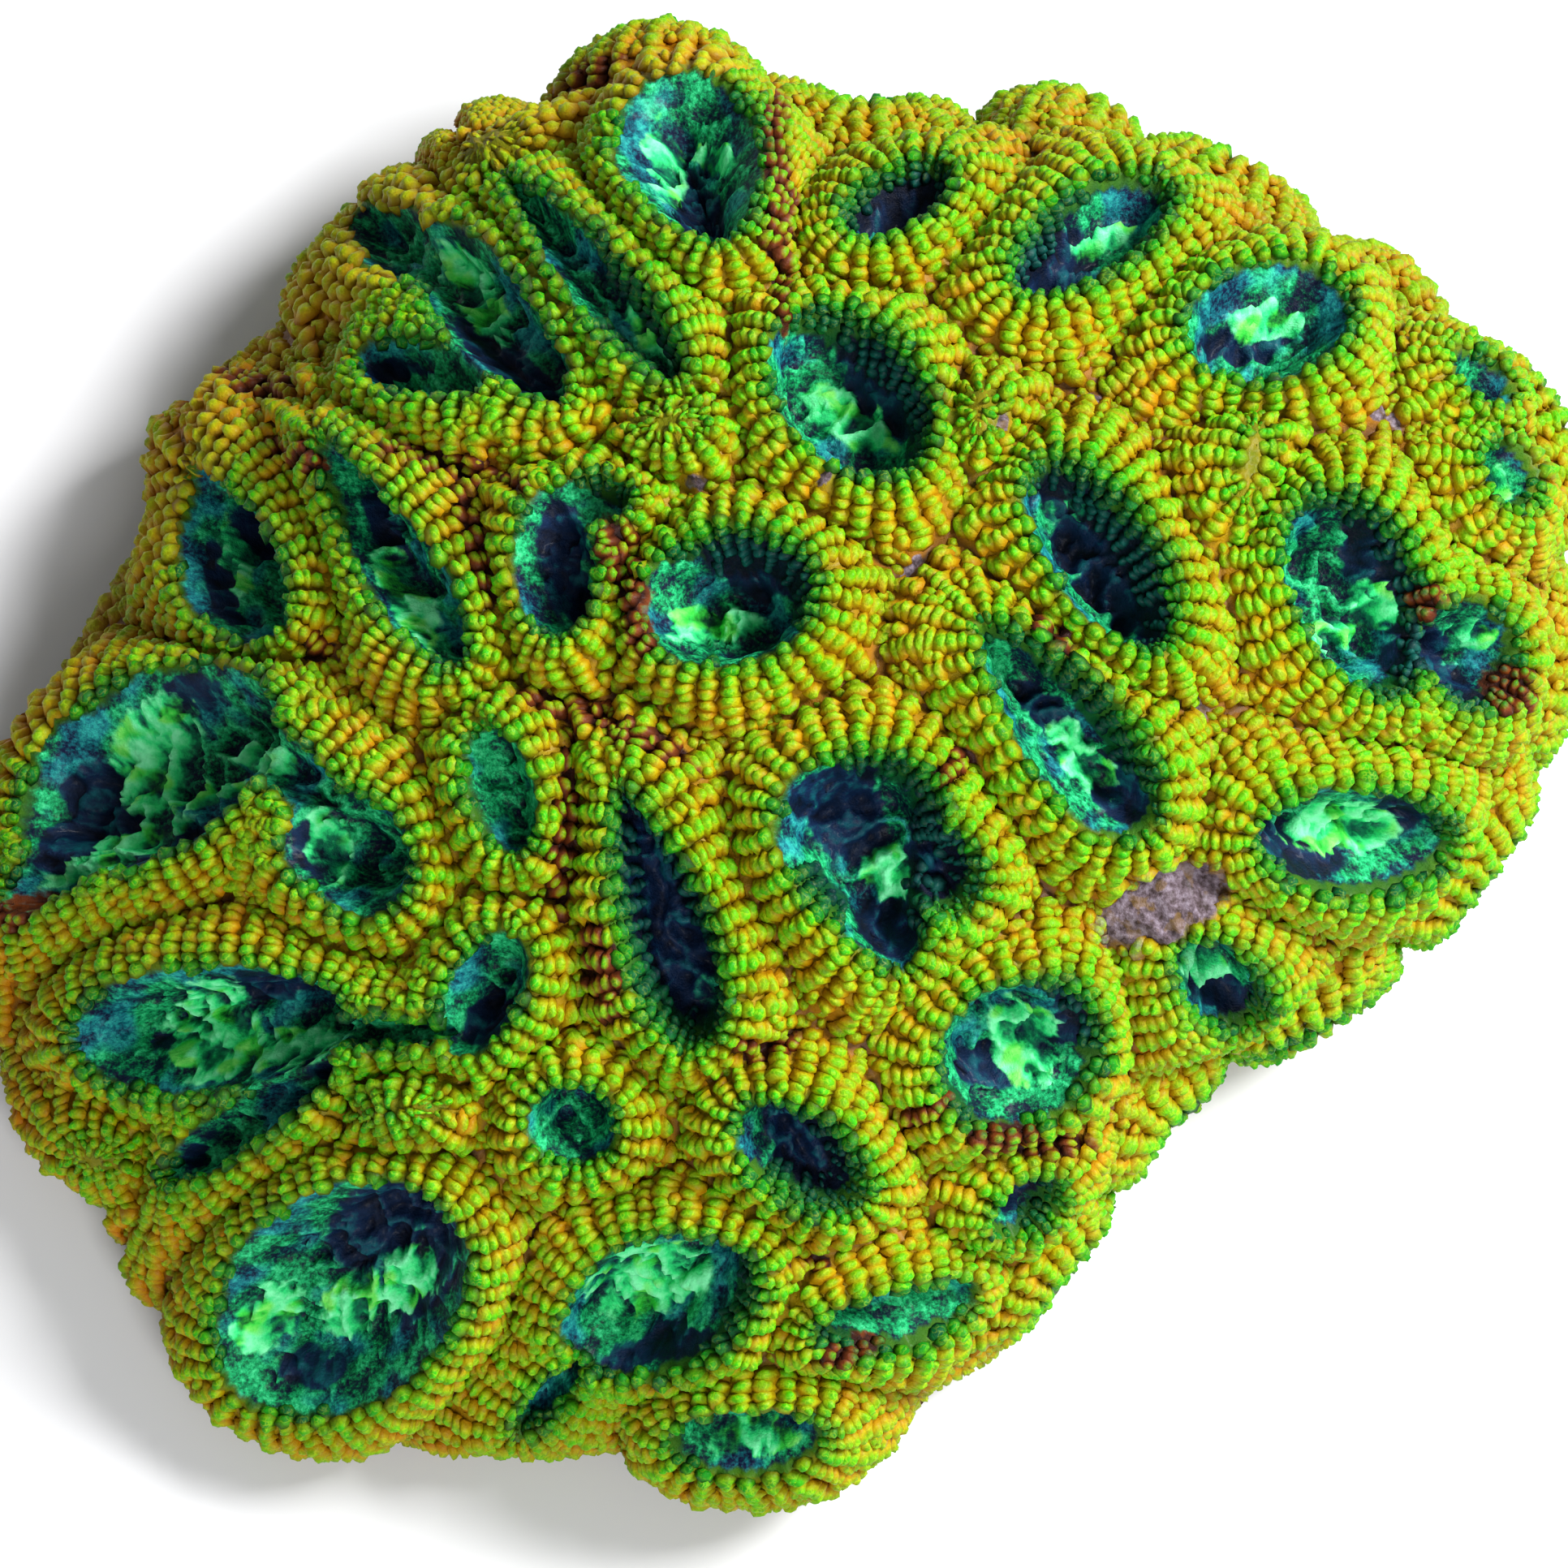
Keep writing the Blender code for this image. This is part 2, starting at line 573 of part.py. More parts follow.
def coral_material():
    """Yellow-green coral skin."""
    material = bpy.data.materials.new("coral_skin")
    material.use_nodes = True
    shader = material.node_tree.nodes["Principled BSDF"]
    shader.inputs["Base Color"].default_value = (0.36, 0.36, 0.01, 1.0)
    shader.inputs["Roughness"].default_value = 0.55
    shader.inputs["Metallic"].default_value = 0.0
    return material


def build_coral():
    """The colony as one object that stands on its cut, centred on its own box."""
    dome = Dome()
    cups = [Cup(dome, row, "layout") for row in CUPS]
    cups += [Cup(dome, row, "mound") for row in MOUNDS]
    cups += [Cup(dome, row, "flank") for row in FLANK_CUPS]
    placed, faces = coral_mesh(dome, cups)
    middle = 0.5 * (placed.min(axis=0) + placed.max(axis=0))
    placed = placed - (middle[0], middle[1], 0.0)
    mesh = bpy.data.meshes.new("brain_coral")
    mesh.from_pydata((placed * MM).tolist(), [], faces)
    mesh.materials.append(coral_material())
    coral = bpy.data.objects.new("brain_coral", mesh)
    bpy.context.scene.collection.objects.link(coral)


for old in list(bpy.data.objects):
    bpy.data.objects.remove(old)
build_coral()
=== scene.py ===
"""Brain coral, as it looks: its skin with every ridge, the beads that ride on the ridges, and the
soft folded flesh in its cups. Tables are in millimetres and degrees, on the same layout as the
solid's, and everything is made on the smooth dome that the solid is made on.
"""

import math
import random

import bpy
import numpy as np
from mathutils import Matrix, Vector, noise
from mathutils.geometry import delaunay_2d_cdt
from mathutils.kdtree import KDTree


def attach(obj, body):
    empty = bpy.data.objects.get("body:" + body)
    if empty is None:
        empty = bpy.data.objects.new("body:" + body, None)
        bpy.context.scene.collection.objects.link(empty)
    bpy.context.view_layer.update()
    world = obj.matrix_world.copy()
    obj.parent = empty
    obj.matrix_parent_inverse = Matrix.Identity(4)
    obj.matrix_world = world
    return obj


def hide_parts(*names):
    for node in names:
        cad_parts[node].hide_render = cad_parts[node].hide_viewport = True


MM = 0.001
TAU = 2.0 * math.pi

# The layout is drawn square to a line of sight that rises from the front of the colony
SIGHT_RISE = 75.0
SIGHT_LENGTH = 500.0
LAYOUT_CENTRE = (-1.0, -2.5, 14.0)

# The dome, in steps of 45 degrees from +X towards +Y
DOME_TOP = 25.0
RIM_HEIGHT = (11.5, 12.5, 9.5, 3.8, 2.8, 2.6, 4.0, 9.5)
SHOULDER = (2.35, 2.3, 2.2, 1.9, 1.75, 1.75, 1.9, 2.15)
FULLNESS = (1.85, 1.85, 1.7, 1.3, 1.15, 1.2, 1.4, 1.7)
UNDERCUT = (0.07, 0.07, 0.05, 0.03, 0.02, 0.02, 0.03, 0.07)
SWELL = 0.5
SWELL_FROM = 8.0

# The colony's outline on the layout, anticlockwise from its right-hand side
OUTLINE = (
    (32.7, 8.8), (32.8, 12.2), (31.6, 15.2), (30.0, 17.4), (27.4, 18.8), (25.6, 21.4),
    (23.0, 22.7), (19.6, 24.7), (16.5, 26.1), (13.1, 27.6), (11.1, 28.4), (9.0, 27.6),
    (4.6, 27.3), (1.3, 27.4), (-1.0, 29.2), (-3.6, 30.8), (-5.7, 31.0), (-7.6, 30.2),
    (-9.1, 28.9), (-14.0, 27.4), (-16.2, 25.8), (-17.4, 23.6), (-20.7, 20.3), (-22.6, 18.0),
    (-26.0, 15.4), (-26.6, 10.9), (-28.6, 8.6), (-30.4, 5.2), (-33.0, 1.2), (-34.0, -4.0),
    (-34.0, -9.0), (-33.0, -13.2), (-31.4, -15.3), (-28.5, -17.0), (-27.2, -20.6),
    (-25.3, -24.0), (-22.7, -26.4), (-17.3, -27.8), (-11.1, -26.9), (-7.8, -27.4),
    (-5.6, -29.0), (-0.7, -29.7), (1.8, -29.4), (4.2, -27.9), (5.9, -26.2), (8.0, -23.4),
    (11.4, -19.2), (13.8, -16.4), (14.9, -13.8), (18.2, -10.8), (23.3, -8.2), (26.4, -5.8),
    (29.8, -1.8), (31.8, 2.6),
)

# Cups on the layout: group, across, up, half length, half width, turn of the length, taper.
# Cups of one group run into each other. Taper widens a cup along its length.
CUPS = (
    (1, -3.8, 26.1, 3.9, 2.9, -70, -0.30),
    (2, -8.2, 21.6, 5.9, 1.4, -50, 0.45),
    (3, -12.4, 19.8, 5.0, 2.1, -52, 0.0),
    (3, -15.9, 22.4, 2.6, 1.7, -40, 0.0),
    (3, -15.0, 17.1, 3.0, 1.4, -10, 0.0),
    (4, -22.9, 9.6, 3.9, 2.2, -75, 0.35),
    (5, -16.2, 9.6, 5.5, 1.7, -60, 0.25),
    (6, -9.3, 9.0, 3.3, 1.8, -85, 0.0),
    (6, -7.9, 11.6, 1.8, 1.2, 10, 0.0),
    (7, -2.3, 7.7, 3.8, 2.9, 10, 0.0),
    (8, 2.8, 16.1, 4.2, 3.1, -45, 0.0),
    (9, 4.8, 24.0, 2.9, 1.5, 25, 0.0),
    (10, 12.9, 22.8, 4.1, 2.1, 32, 0.0),
    (11, 20.2, 19.2, 3.7, 2.6, 10, 0.0),
    (12, 29.0, 16.7, 1.5, 0.8, -35, 0.0),
    (13, 30.0, 12.9, 1.6, 1.1, -70, 0.0),
    (14, 23.9, 7.9, 4.7, 2.9, -65, 0.0),
    (14, 28.4, 5.4, 2.5, 2.2, -60, 0.0),
    (16, 13.2, 9.6, 4.7, 2.3, -55, 0.0),
    (17, 11.8, 2.4, 5.4, 2.2, -50, 0.20),
    (18, 3.7, -3.2, 4.6, 3.3, -75, -0.42),
    (18, 6.3, -3.4, 2.2, 1.8, -60, 0.0),
    (19, 23.9, -2.2, 4.3, 2.3, 0, 0.0),
    (20, 18.1, -8.1, 2.5, 1.8, -30, 0.0),
    (21, 9.7, -11.2, 3.8, 3.0, 30, 0.0),
    (22, 9.9, -17.4, 1.9, 1.1, 40, 0.0),
    (23, 0.7, -15.5, 3.1, 2.0, -40, 0.0),
    (24, -8.8, -14.1, 2.0, 1.8, 0, 0.0),
    (25, -5.0, -5.6, 5.6, 2.1, -72, 0.40),
    (26, -11.7, -0.3, 2.9, 1.5, -75, 0.0),
    (27, -12.5, -8.8, 2.9, 1.7, 60, 0.0),
    (27, -23.8, -10.3, 6.4, 2.8, 5, 0.0),
    (27, -17.0, -10.4, 3.4, 0.9, 0, 0.0),
    (27, -22.2, -14.1, 4.6, 1.2, 36, 0.0),
    (28, -18.0, -2.8, 2.9, 2.5, -40, 0.0),
    (28, -26.6, 0.5, 6.4, 3.8, 30, 0.0),
    (28, -20.6, 0.6, 3.2, 1.3, -35, 0.0),
    (28, -29.8, -3.4, 3.4, 1.5, 35, 0.0),
    (30, -18.6, -21.6, 6.1, 4.4, 38, 0.0),
    (31, -5.2, -21.7, 4.1, 3.1, 20, 0.0),
    (31, -9.8, -25.2, 2.2, 0.9, 40, 0.0),
    (32, 4.6, -22.1, 3.5, 1.4, 18, 0.0),
    (33, -1.6, -27.2, 3.2, 1.4, 4, 0.0),
)

# Solid mounds, which have ridges and no opening, in the same columns
MOUNDS = (
    (41, -4.6, 14.9, 1.3, 0.9, 0, 0.0),
    (42, -16.0, -13.6, 1.6, 0.8, 10, 0.0),
    (43, -28.4, -15.2, 1.2, 0.8, -20, 0.0),
    (44, 8.2, 15.2, 0.9, 0.7, 90, 0.0),
    (45, 19.4, 13.2, 1.6, 0.7, 80, 0.0),
    (46, -12.0, 26.4, 1.5, 0.7, 30, 0.0),
)

# Cups on the steep flank: group, bearing, height, half length, half width, turn from level, taper
FLANK_CUPS = (
    (61, 24.0, 9.6, 3.3, 2.5, 15, 0.0),
    (62, 8.0, 7.6, 3.5, 2.6, -10, 0.0),
    (63, -9.0, 8.6, 3.2, 2.5, 10, 0.0),
    (64, -26.0, 6.9, 3.4, 2.4, -15, 0.0),
    (65, -45.0, 6.4, 3.2, 2.3, 12, 0.0),
    (66, -63.0, 5.0, 2.8, 1.9, -8, 0.0),
    (67, 38.0, 8.4, 3.4, 2.6, -12, 0.0),
    (68, 53.0, 9.8, 3.3, 2.5, 20, 0.0),
    (69, 68.0, 8.4, 3.4, 2.5, -8, 0.0),
    (70, 84.0, 9.2, 3.1, 2.4, 12, 0.0),
    (71, 100.0, 6.6, 2.9, 2.1, -10, 0.0),
)

# Walls, cups and ridges
CREST = 1.0
GROOVE = -0.55
WALL_REACH = 4.8
FULL_WALL = 1.7
WALL_CURVE = 2.4
CUP_DEPTH = (1.8, 3.6)
DEPTH_PER_WIDTH = 1.25
INNER_SLOPE = 2.3
INNER_SHARE = 0.82
MOUND_RISE = 0.5
LEAST_FACING = 0.42

NARROWEST_WALL = 0.3
PITCH_AT = 1.4
TAPER_HOLD = 1.2
PROFILE_STEPS = 400
EASE_COLUMNS = 4
COLUMNS = 720
ROWS = 240
LOWEST_SKIN = 0.3
FAR = 99.0

# How far the middle of the solid's box lies from the dome's own middle
BOX_MIDDLE = (-1.3772, 0.8074)

# Patches of colour on the layout: across, up, half length, half width, turn. Their edges wander.
PATCH_WANDER = 0.35
WANDER_SIZE = 0.9
PATCH_FADE = 0.9
MINT = (
    (-4.8, 26.0, 1.5, 0.7, -80), (-2.8, 26.1, 0.9, 0.5, 0), (-5.3, 19.3, 1.8, 0.9, -50),
    (-12.8, 20.5, 2.3, 0.8, -60), (-11.1, 15.9, 1.7, 0.5, -20), (-22.9, 9.4, 1.5, 0.6, -75),
    (-15.9, 7.7, 2.2, 1.0, -60), (-2.9, 6.7, 1.8, 0.8, 0), (2.7, 15.2, 2.0, 0.9, -30),
    (13.4, 22.7, 1.2, 0.6, 30), (20.3, 19.3, 1.5, 0.8, 10), (24.7, 7.4, 0.9, 1.0, 0),
    (23.0, 6.3, 0.9, 0.7, 0), (29.0, 6.3, 0.9, 0.6, 0), (12.4, 11.8, 0.9, 0.5, -50),
    (12.4, 1.2, 1.6, 0.8, -50), (4.4, -3.7, 1.2, 1.0, -40), (23.2, -1.8, 2.1, 0.9, 5),
    (17.5, -7.3, 0.9, 0.6, -20), (10.0, -10.7, 1.7, 1.2, -60), (-19.0, -2.5, 1.5, 0.9, -80),
    (-26.1, 1.1, 2.3, 1.6, 80), (-27.8, -2.9, 3.0, 0.5, 25), (-23.8, -0.5, 1.5, 0.4, 15),
    (-21.7, 0.9, 1.4, 0.5, -10), (-23.8, -10.4, 2.0, 1.7, 80), (-20.6, -11.1, 2.0, 0.8, 10),
    (-21.7, -22.3, 1.6, 1.0, 40), (-18.0, -21.6, 1.4, 0.9, 60), (-15.6, -20.6, 1.3, 1.0, 60),
    (-5.7, -20.6, 2.3, 1.3, 10), (-1.2, -27.4, 1.7, 0.9, 5), (30.0, 12.6, 0.8, 0.4, -70),
)
NAVY = (
    (-3.6, 24.1, 1.5, 0.7, -60), (-11.8, 17.6, 2.4, 0.8, -40), (-17.0, 17.3, 2.0, 0.4, 0),
    (-23.6, 8.4, 1.6, 0.5, -75), (-9.1, 9.4, 2.4, 0.9, -85), (-0.9, 9.1, 2.3, 1.0, -20),
    (4.2, 16.6, 2.0, 1.1, -50), (5.3, 24.4, 1.9, 0.8, 25), (11.1, 21.7, 1.7, 1.1, 30),
    (19.2, 18.4, 1.6, 0.6, 0), (24.7, 9.4, 1.6, 0.9, -60), (26.4, 5.7, 1.1, 1.0, 0),
    (13.8, 9.1, 3.8, 1.3, -55), (11.1, 2.9, 1.4, 0.6, -50), (13.8, -0.1, 1.5, 0.8, -50),
    (1.2, -0.1, 2.2, 0.9, 0), (4.6, -6.3, 1.4, 1.0, -70), (6.4, -2.9, 1.1, 1.5, 0),
    (20.6, -2.2, 1.4, 0.6, 0), (11.9, -9.5, 0.8, 1.2, 0), (8.5, -11.8, 1.1, 0.8, 0),
    (9.4, -17.0, 1.4, 0.6, 40), (-24.8, 4.0, 1.1, 0.9, 0), (-28.9, -0.5, 1.3, 1.1, 60),
    (-22.7, -2.5, 2.6, 1.0, 10), (-26.8, -3.3, 2.2, 0.5, 20), (-25.8, -10.7, 0.7, 0.5, 0),
    (-25.4, -15.4, 1.4, 0.9, 60), (-16.6, -17.9, 2.6, 1.3, 40), (-19.7, -24.4, 1.2, 0.8, 0),
    (-7.0, -24.4, 1.6, 0.7, 30), (-4.4, -23.3, 1.2, 0.6, 0), (-5.2, -4.2, 4.6, 1.2, -74),
    (0.9, -15.2, 1.8, 0.9, -40), (-15.0, 12.6, 1.2, 0.7, -60), (18.2, -8.6, 1.2, 0.7, -30),
    (-29.5, -2.4, 2.4, 0.8, 25), (-20.3, -2.6, 1.2, 1.2, 0), (-15.0, -20.2, 1.0, 2.2, -20),
    (-17.3, -11.9, 2.6, 0.5, 5), (-21.8, -8.4, 1.6, 0.6, 0), (-12.4, -9.9, 1.4, 0.6, 60),
    (-22.0, 10.9, 0.8, 1.2, 0), (-16.7, 10.6, 1.6, 0.5, -60), (2.6, -1.4, 1.4, 1.6, 0),
    (22.0, -3.3, 1.4, 0.5, 0), (25.4, -1.2, 1.2, 0.6, 0), (27.9, 4.2, 1.4, 0.6, -30),
)
BROWN = (
    (-0.2, 24.0, 4.6, 0.4, -88), (-6.6, 8.4, 2.5, 0.6, -75), (-7.7, -7.8, 1.8, 0.6, -80),
    (10.2, -15.0, 2.2, 0.5, -5), (-22.4, 16.9, 1.7, 0.4, -10), (-19.7, 5.7, 0.6, 0.3, 0),
    (1.2, -20.1, 0.7, 0.3, 0), (-0.9, -11.1, 1.3, 0.5, 10), (5.9, -13.8, 1.0, 0.5, 30),
    (2.7, -23.9, 1.1, 0.5, 20), (30.5, 4.0, 0.9, 0.9, 0), (7.2, 0.8, 0.9, 0.4, 20),
    (-32.3, -5.4, 1.6, 0.5, 20), (-14.0, 13.4, 2.8, 0.4, -15), (27.0, 7.9, 0.7, 0.6, 0),
    (11.4, 6.4, 0.9, 0.4, -40), (-20.4, 13.8, 1.4, 0.4, -20), (-9.0, 29.6, 2.2, 0.4, 20),
    (-7.5, 2.5, 3.6, 0.4, -22), (-9.2, -1.7, 3.6, 0.36, 86), (-13.0, 10.1, 2.6, 0.36, -73),
)
GREY = (
    (15.9, -5.1, 2.5, 1.3, 24), (-3.6, 12.8, 0.7, 0.25, 0), (5.3, 9.1, 0.6, 0.25, 40),
    (9.2, 15.2, 0.25, 0.5, 0), (12.8, 16.2, 0.5, 0.22, 0), (25.3, 15.4, 0.8, 0.22, -35),
    (17.5, 3.3, 0.22, 0.5, 0), (1.6, 12.9, 0.5, 0.22, 60),
)

# Where the rim is swollen and its beads are few and large
PLUMP = (
    (-17.6, 22.7, 6.4, 1.9, 48), (-11.2, 27.8, 3.4, 1.5, 20), (-5.0, 29.8, 3.2, 1.1, 15),
    (-25.4, 12.9, 4.6, 1.6, 65), (-30.6, 4.8, 4.0, 1.5, 55),
)

# Where soft flesh reaches up to the edge of a cup
TEAL = (
    (-3.9, 26.1, 4.4, 3.3, -70), (-6.0, -21.7, 3.8, 3.0, 20), (-9.8, -25.2, 2.4, 1.2, 40),
    (1.2, 16.0, 3.6, 2.0, -45), (-4.3, 7.0, 1.9, 2.4, 0), (-0.5, 5.6, 2.6, 0.8, 15),
    (12.0, 9.0, 4.2, 1.3, -52), (10.6, 2.6, 4.6, 1.6, -52), (13.4, -0.6, 1.8, 1.4, 0),
    (20.2, 19.2, 3.8, 2.7, 10), (23.0, 7.6, 2.4, 3.8, 15), (23.7, -2.1, 3.8, 2.0, 0),
    (0.6, -1.6, 1.5, 3.2, -40), (4.0, -6.6, 1.8, 1.4, -45), (9.5, -11.3, 3.2, 2.7, -60),
    (-0.9, -14.6, 1.4, 1.2, 0), (-8.8, -14.1, 2.0, 1.6, 0), (17.9, -8.2, 1.7, 1.6, 0),
    (5.0, -21.8, 3.2, 1.2, 10), (9.2, -17.4, 1.2, 0.8, 40), (-1.4, -27.3, 3.0, 1.5, 0),
    (13.8, 23.5, 2.2, 1.3, 20), (30.0, 12.9, 1.2, 1.4, 0), (28.5, 6.0, 1.6, 1.8, 0),
    (29.0, 16.7, 1.6, 1.0, -30), (4.6, 23.6, 1.4, 0.6, 25),
)

# The skin, which carries the ridges
SKIN_CREST = 0.95
RIB_PLACES = (-3.2, -1.4, -0.3)
RIB_HEIGHTS = (0.05, 0.20, 0.15)
TRUE_PITCH = 1.03
LINES_PER_RIDGE = 4
SPLIT_AT = 1.55
LINE_STEP = 0.3
LONGEST_LINE = 9.0
NEAR_SHARE = 0.45
SLOPE_STEP = 0.2
FLOOR_STEP = 0.195
HIDDEN_FLOOR_STEP = 0.32
SKIN_SPACING = 0.15
BARE_STEP = 0.45
FOOT_STEP = 0.5
FOOT_CLEARANCE = 0.3
BEAD_CLEARANCE = 0.85

# Flesh on the floors of the cups: where it starts, by how far left the cup lies
FLESH_ACROSS = (-9.0, -5.0)
FLESH_FROM = (-0.15, -1.3)
TEAL_FLESH_FROM = -0.12
FLESH_EDGE = 0.35
FOLD_SIZE = 1.35
FOLD_HEIGHT = 0.8
SMALL_FOLD_SIZE = 0.42
SMALL_FOLD_HEIGHT = 0.24
STEEP_CALM = 0.8
MINT_RISE = 0.3

# Beads: how far apart and how wide they are, by distance outside the edge of the cup
BEAD_PLACES = (-1.6, -1.0, -0.4, 0.4, 1.5, 4.8)
BEAD_SPACING = (0.34, 0.37, 0.40, 0.42, 0.44, 0.47)
BEAD_HALF_WIDTH = (0.22, 0.34, 0.48, 0.58, 0.64, 0.66)
BEADS_END_AT = -1.45
BEAD_SHARE_OF_PITCH = 0.60
LEAST_HALF_WIDTH = 0.16
BEAD_LENGTH_SHARE = 0.92
BEAD_HEIGHT_SHARE = 1.05
BEAD_SINK = 0.2
BEAD_RISE = 0.3
BEAD_SWING = 0.2
BEAD_TILT = 0.18
BEAD_WANDER = 0.07
BEAD_SIZES = (0.82, 1.2)
BEAD_SIDES = 7
BEAD_RINGS = ((0.34, 0.88), (0.60, 0.46), (1.0, -0.16))
BEAD_LUMPS = 0.13

# Lines that carry beads: rank 1 always, rank 2 where ridges split, rank 4 where they split again
RANKS = (1, 4, 2, 4)
FIRST_SLOT = (0.1, 0.9)
NEXT_SLOT = (0.82, 1.18)
CROWDED_AT = 0.55
MINOR_ENDS_AT = -0.8
MINOR_DROP = 0.05
MINOR_WIDTH = 0.94
MAJOR_WIDTH = 1.05
PLUMP_APART = 0.85
PLUMP_LENGTH = 0.5
PLUMP_FLAT = 0.3
PLUMP_GAP = 0.45
SEAM_HALF_WIDTH = 0.06
FILL_FROM_SEAM = 0.04
BARE_FROM = 0.3
MOUND_PLACE = 0.35
FILL_STEP = 0.4
FILL_GAP = 0.54
FILL_SIZE = (0.36, 0.42, 0.30)
FILL_SHAKE = 0.1
FILL_LOW = 0.6
SEED = 7
PIECES = 5

# Colours as they look on a screen, each row after its place on a scale. The first rows run by
# the distance outside the edge of the cup, the others by light and shade.
PLACE_FROM = -3.0
PLACE_TO = 4.0
TOP_ROWS = (
    (-1.1, 3, 44, 48), (-0.4, 6, 88, 42), (0.05, 20, 136, 12), (0.5, 56, 172, 4),
    (1.2, 88, 176, 2), (2.6, 112, 166, 2),
)
RING_ROWS = (
    (-1.1, 5, 64, 50), (-0.4, 8, 96, 38), (0.05, 50, 150, 8), (0.5, 120, 168, 3),
    (1.2, 146, 164, 1), (2.6, 154, 146, 1),
)
BASE_ROWS = (
    (-1.1, 3, 28, 34), (-0.4, 4, 50, 24), (0.05, 26, 88, 4), (0.6, 128, 128, 2),
    (1.4, 166, 130, 1), (2.8, 166, 112, 1),
)
SKIN_ROWS = (
    (-2.6, 4, 34, 38), (-1.6, 5, 58, 44), (-0.8, 6, 72, 28), (-0.1, 56, 100, 5),
    (0.8, 146, 122, 2), (2.4, 146, 96, 2),
)
SWOLLEN_ROWS = ((0.0, 132, 86, 2), (0.5, 176, 140, 2), (1.0, 164, 168, 3))
MINT_ROWS = ((0.0, 4, 30, 52), (0.24, 8, 116, 76), (0.5, 48, 222, 126), (0.9, 136, 255, 184))
LEAFY_ROWS = ((0.1, 6, 60, 24), (0.5, 60, 208, 28), (1.0, 140, 240, 60))
BROWN_ROWS = ((0.0, 40, 14, 10), (1.0, 124, 58, 10))
GREY_ROWS = ((0.34, 54, 42, 42), (0.5, 98, 84, 92), (0.66, 134, 122, 134))
BEAD_NAVY_ROWS = ((0.0, 3, 24, 30), (1.0, 8, 74, 66))
SKIN_NAVY_ROWS = ((0.0, 4, 9, 26), (0.6, 8, 32, 64), (1.0, 12, 88, 98))
SKIN_SEAM_ROWS = ((0.46, 52, 30, 8), (0.58, 62, 50, 54))
TEAL_ROWS = (
    (0.2, 5, 12, 40), (0.33, 3, 46, 48), (0.48, 8, 110, 66), (0.66, 24, 168, 102),
    (0.95, 76, 218, 148),
)
BLUE_ROWS = ((0.22, 5, 13, 50), (0.5, 12, 100, 112), (0.95, 50, 184, 168))
ORANGE = (180, 114, 2)
SEAM = (84, 60, 6)
# Pale yellow-lime of the painted highlight lines along the beads' edges
GLINT_LINE_COLOUR = (206, 226, 40)
SPECKS = (112, 84, 16)
PATCH_EDGE = 0.16

# A slight tint from the left side of the colony to the right, as parts of red, green and blue
TINT_FROM_LEFT = (
    (0.0, (1.08, 0.94, 1.0, 1.0)), (0.4, (0.98, 1.0, 1.0, 1.0)), (1.0, (0.9, 1.0, 1.0, 1.0)),
)
TINT_REACH = 35.0
GLOSS = ("Specular IOR Level", "Coat Weight", "Coat Roughness")

# Lights: name, place in metres, size and power. They look at a point over the middle of the cut.
LIGHTS = (("key", (0.42, 0.15, 0.44), 0.24, 8.0), ("fill", (0.10, -0.42, 0.40), 0.30, 2.6))
LIGHTS_LOOK_AT = (0.0, 0.0, 0.012)
SKY = (0.96, 0.98, 1.0, 1.0)
SKY_STRENGTH = 0.30
FLOOR_COLOUR = (214, 214, 216)
FLOOR_WIDTH = 4.0

# The eye and the picture
PIXELS_ACROSS = 1932
PIXELS_PER_MM = 29.3


def clamp(value):
    """A value held between 0 and 1."""
    return np.clip(value, 0.0, 1.0)


def unit(vectors):
    """Rows of vectors, each made one long."""
    return vectors / np.linalg.norm(vectors, axis=1, keepdims=True)


def from_middle(reach, bearing):
    """Across and up of a place at a distance from the middle."""
    return reach * math.cos(bearing), reach * math.sin(bearing)


def column_beside(bearing):
    """Columns of the dome's tables to each side of the bearings, and how far past the first."""
    column = np.mod(bearing, TAU) / TAU * COLUMNS
    left = np.floor(column).astype(int) % COLUMNS
    return left, (left + 1) % COLUMNS, column - np.floor(column)


def turned(values, bearings):
    """Values given every 45 degrees, blended smoothly at the bearings."""
    at = np.mod(bearings, TAU) / TAU * len(values)
    low = np.floor(at).astype(int) % len(values)
    blend = 0.5 - 0.5 * np.cos(math.pi * (at - np.floor(at)))
    ring = np.array(values)
    return ring[low] * (1.0 - blend) + ring[(low + 1) % len(values)] * blend


def sight_axes():
    """Across, up and towards the eye, as the layout is drawn."""
    rise = math.radians(SIGHT_RISE)
    across = np.array((1.0, 0.0, 0.0))
    up = np.array((0.0, math.sin(rise), math.cos(rise)))
    return across, up, np.cross(across, up)


def lift(across, up, height):
    """Plan position of a layout point that lies at a height."""
    rise = math.radians(SIGHT_RISE)
    middle_x, middle_y, middle_z = LAYOUT_CENTRE
    lifted = height - middle_z
    y = middle_y + up
    for _ in range(8):
        nearer = lifted * math.sin(rise) - (y - middle_y) * math.cos(rise)
        shrink = 1.0 - nearer / SIGHT_LENGTH
        y = middle_y + (up * shrink - lifted * math.cos(rise)) / math.sin(rise)
    return middle_x + across * shrink, y


def swell(x, y):
    """Slow rise and fall of the dome."""
    return SWELL * np.sin(x / 7.0 + 0.6) * np.sin(y / 6.0 + 1.9)


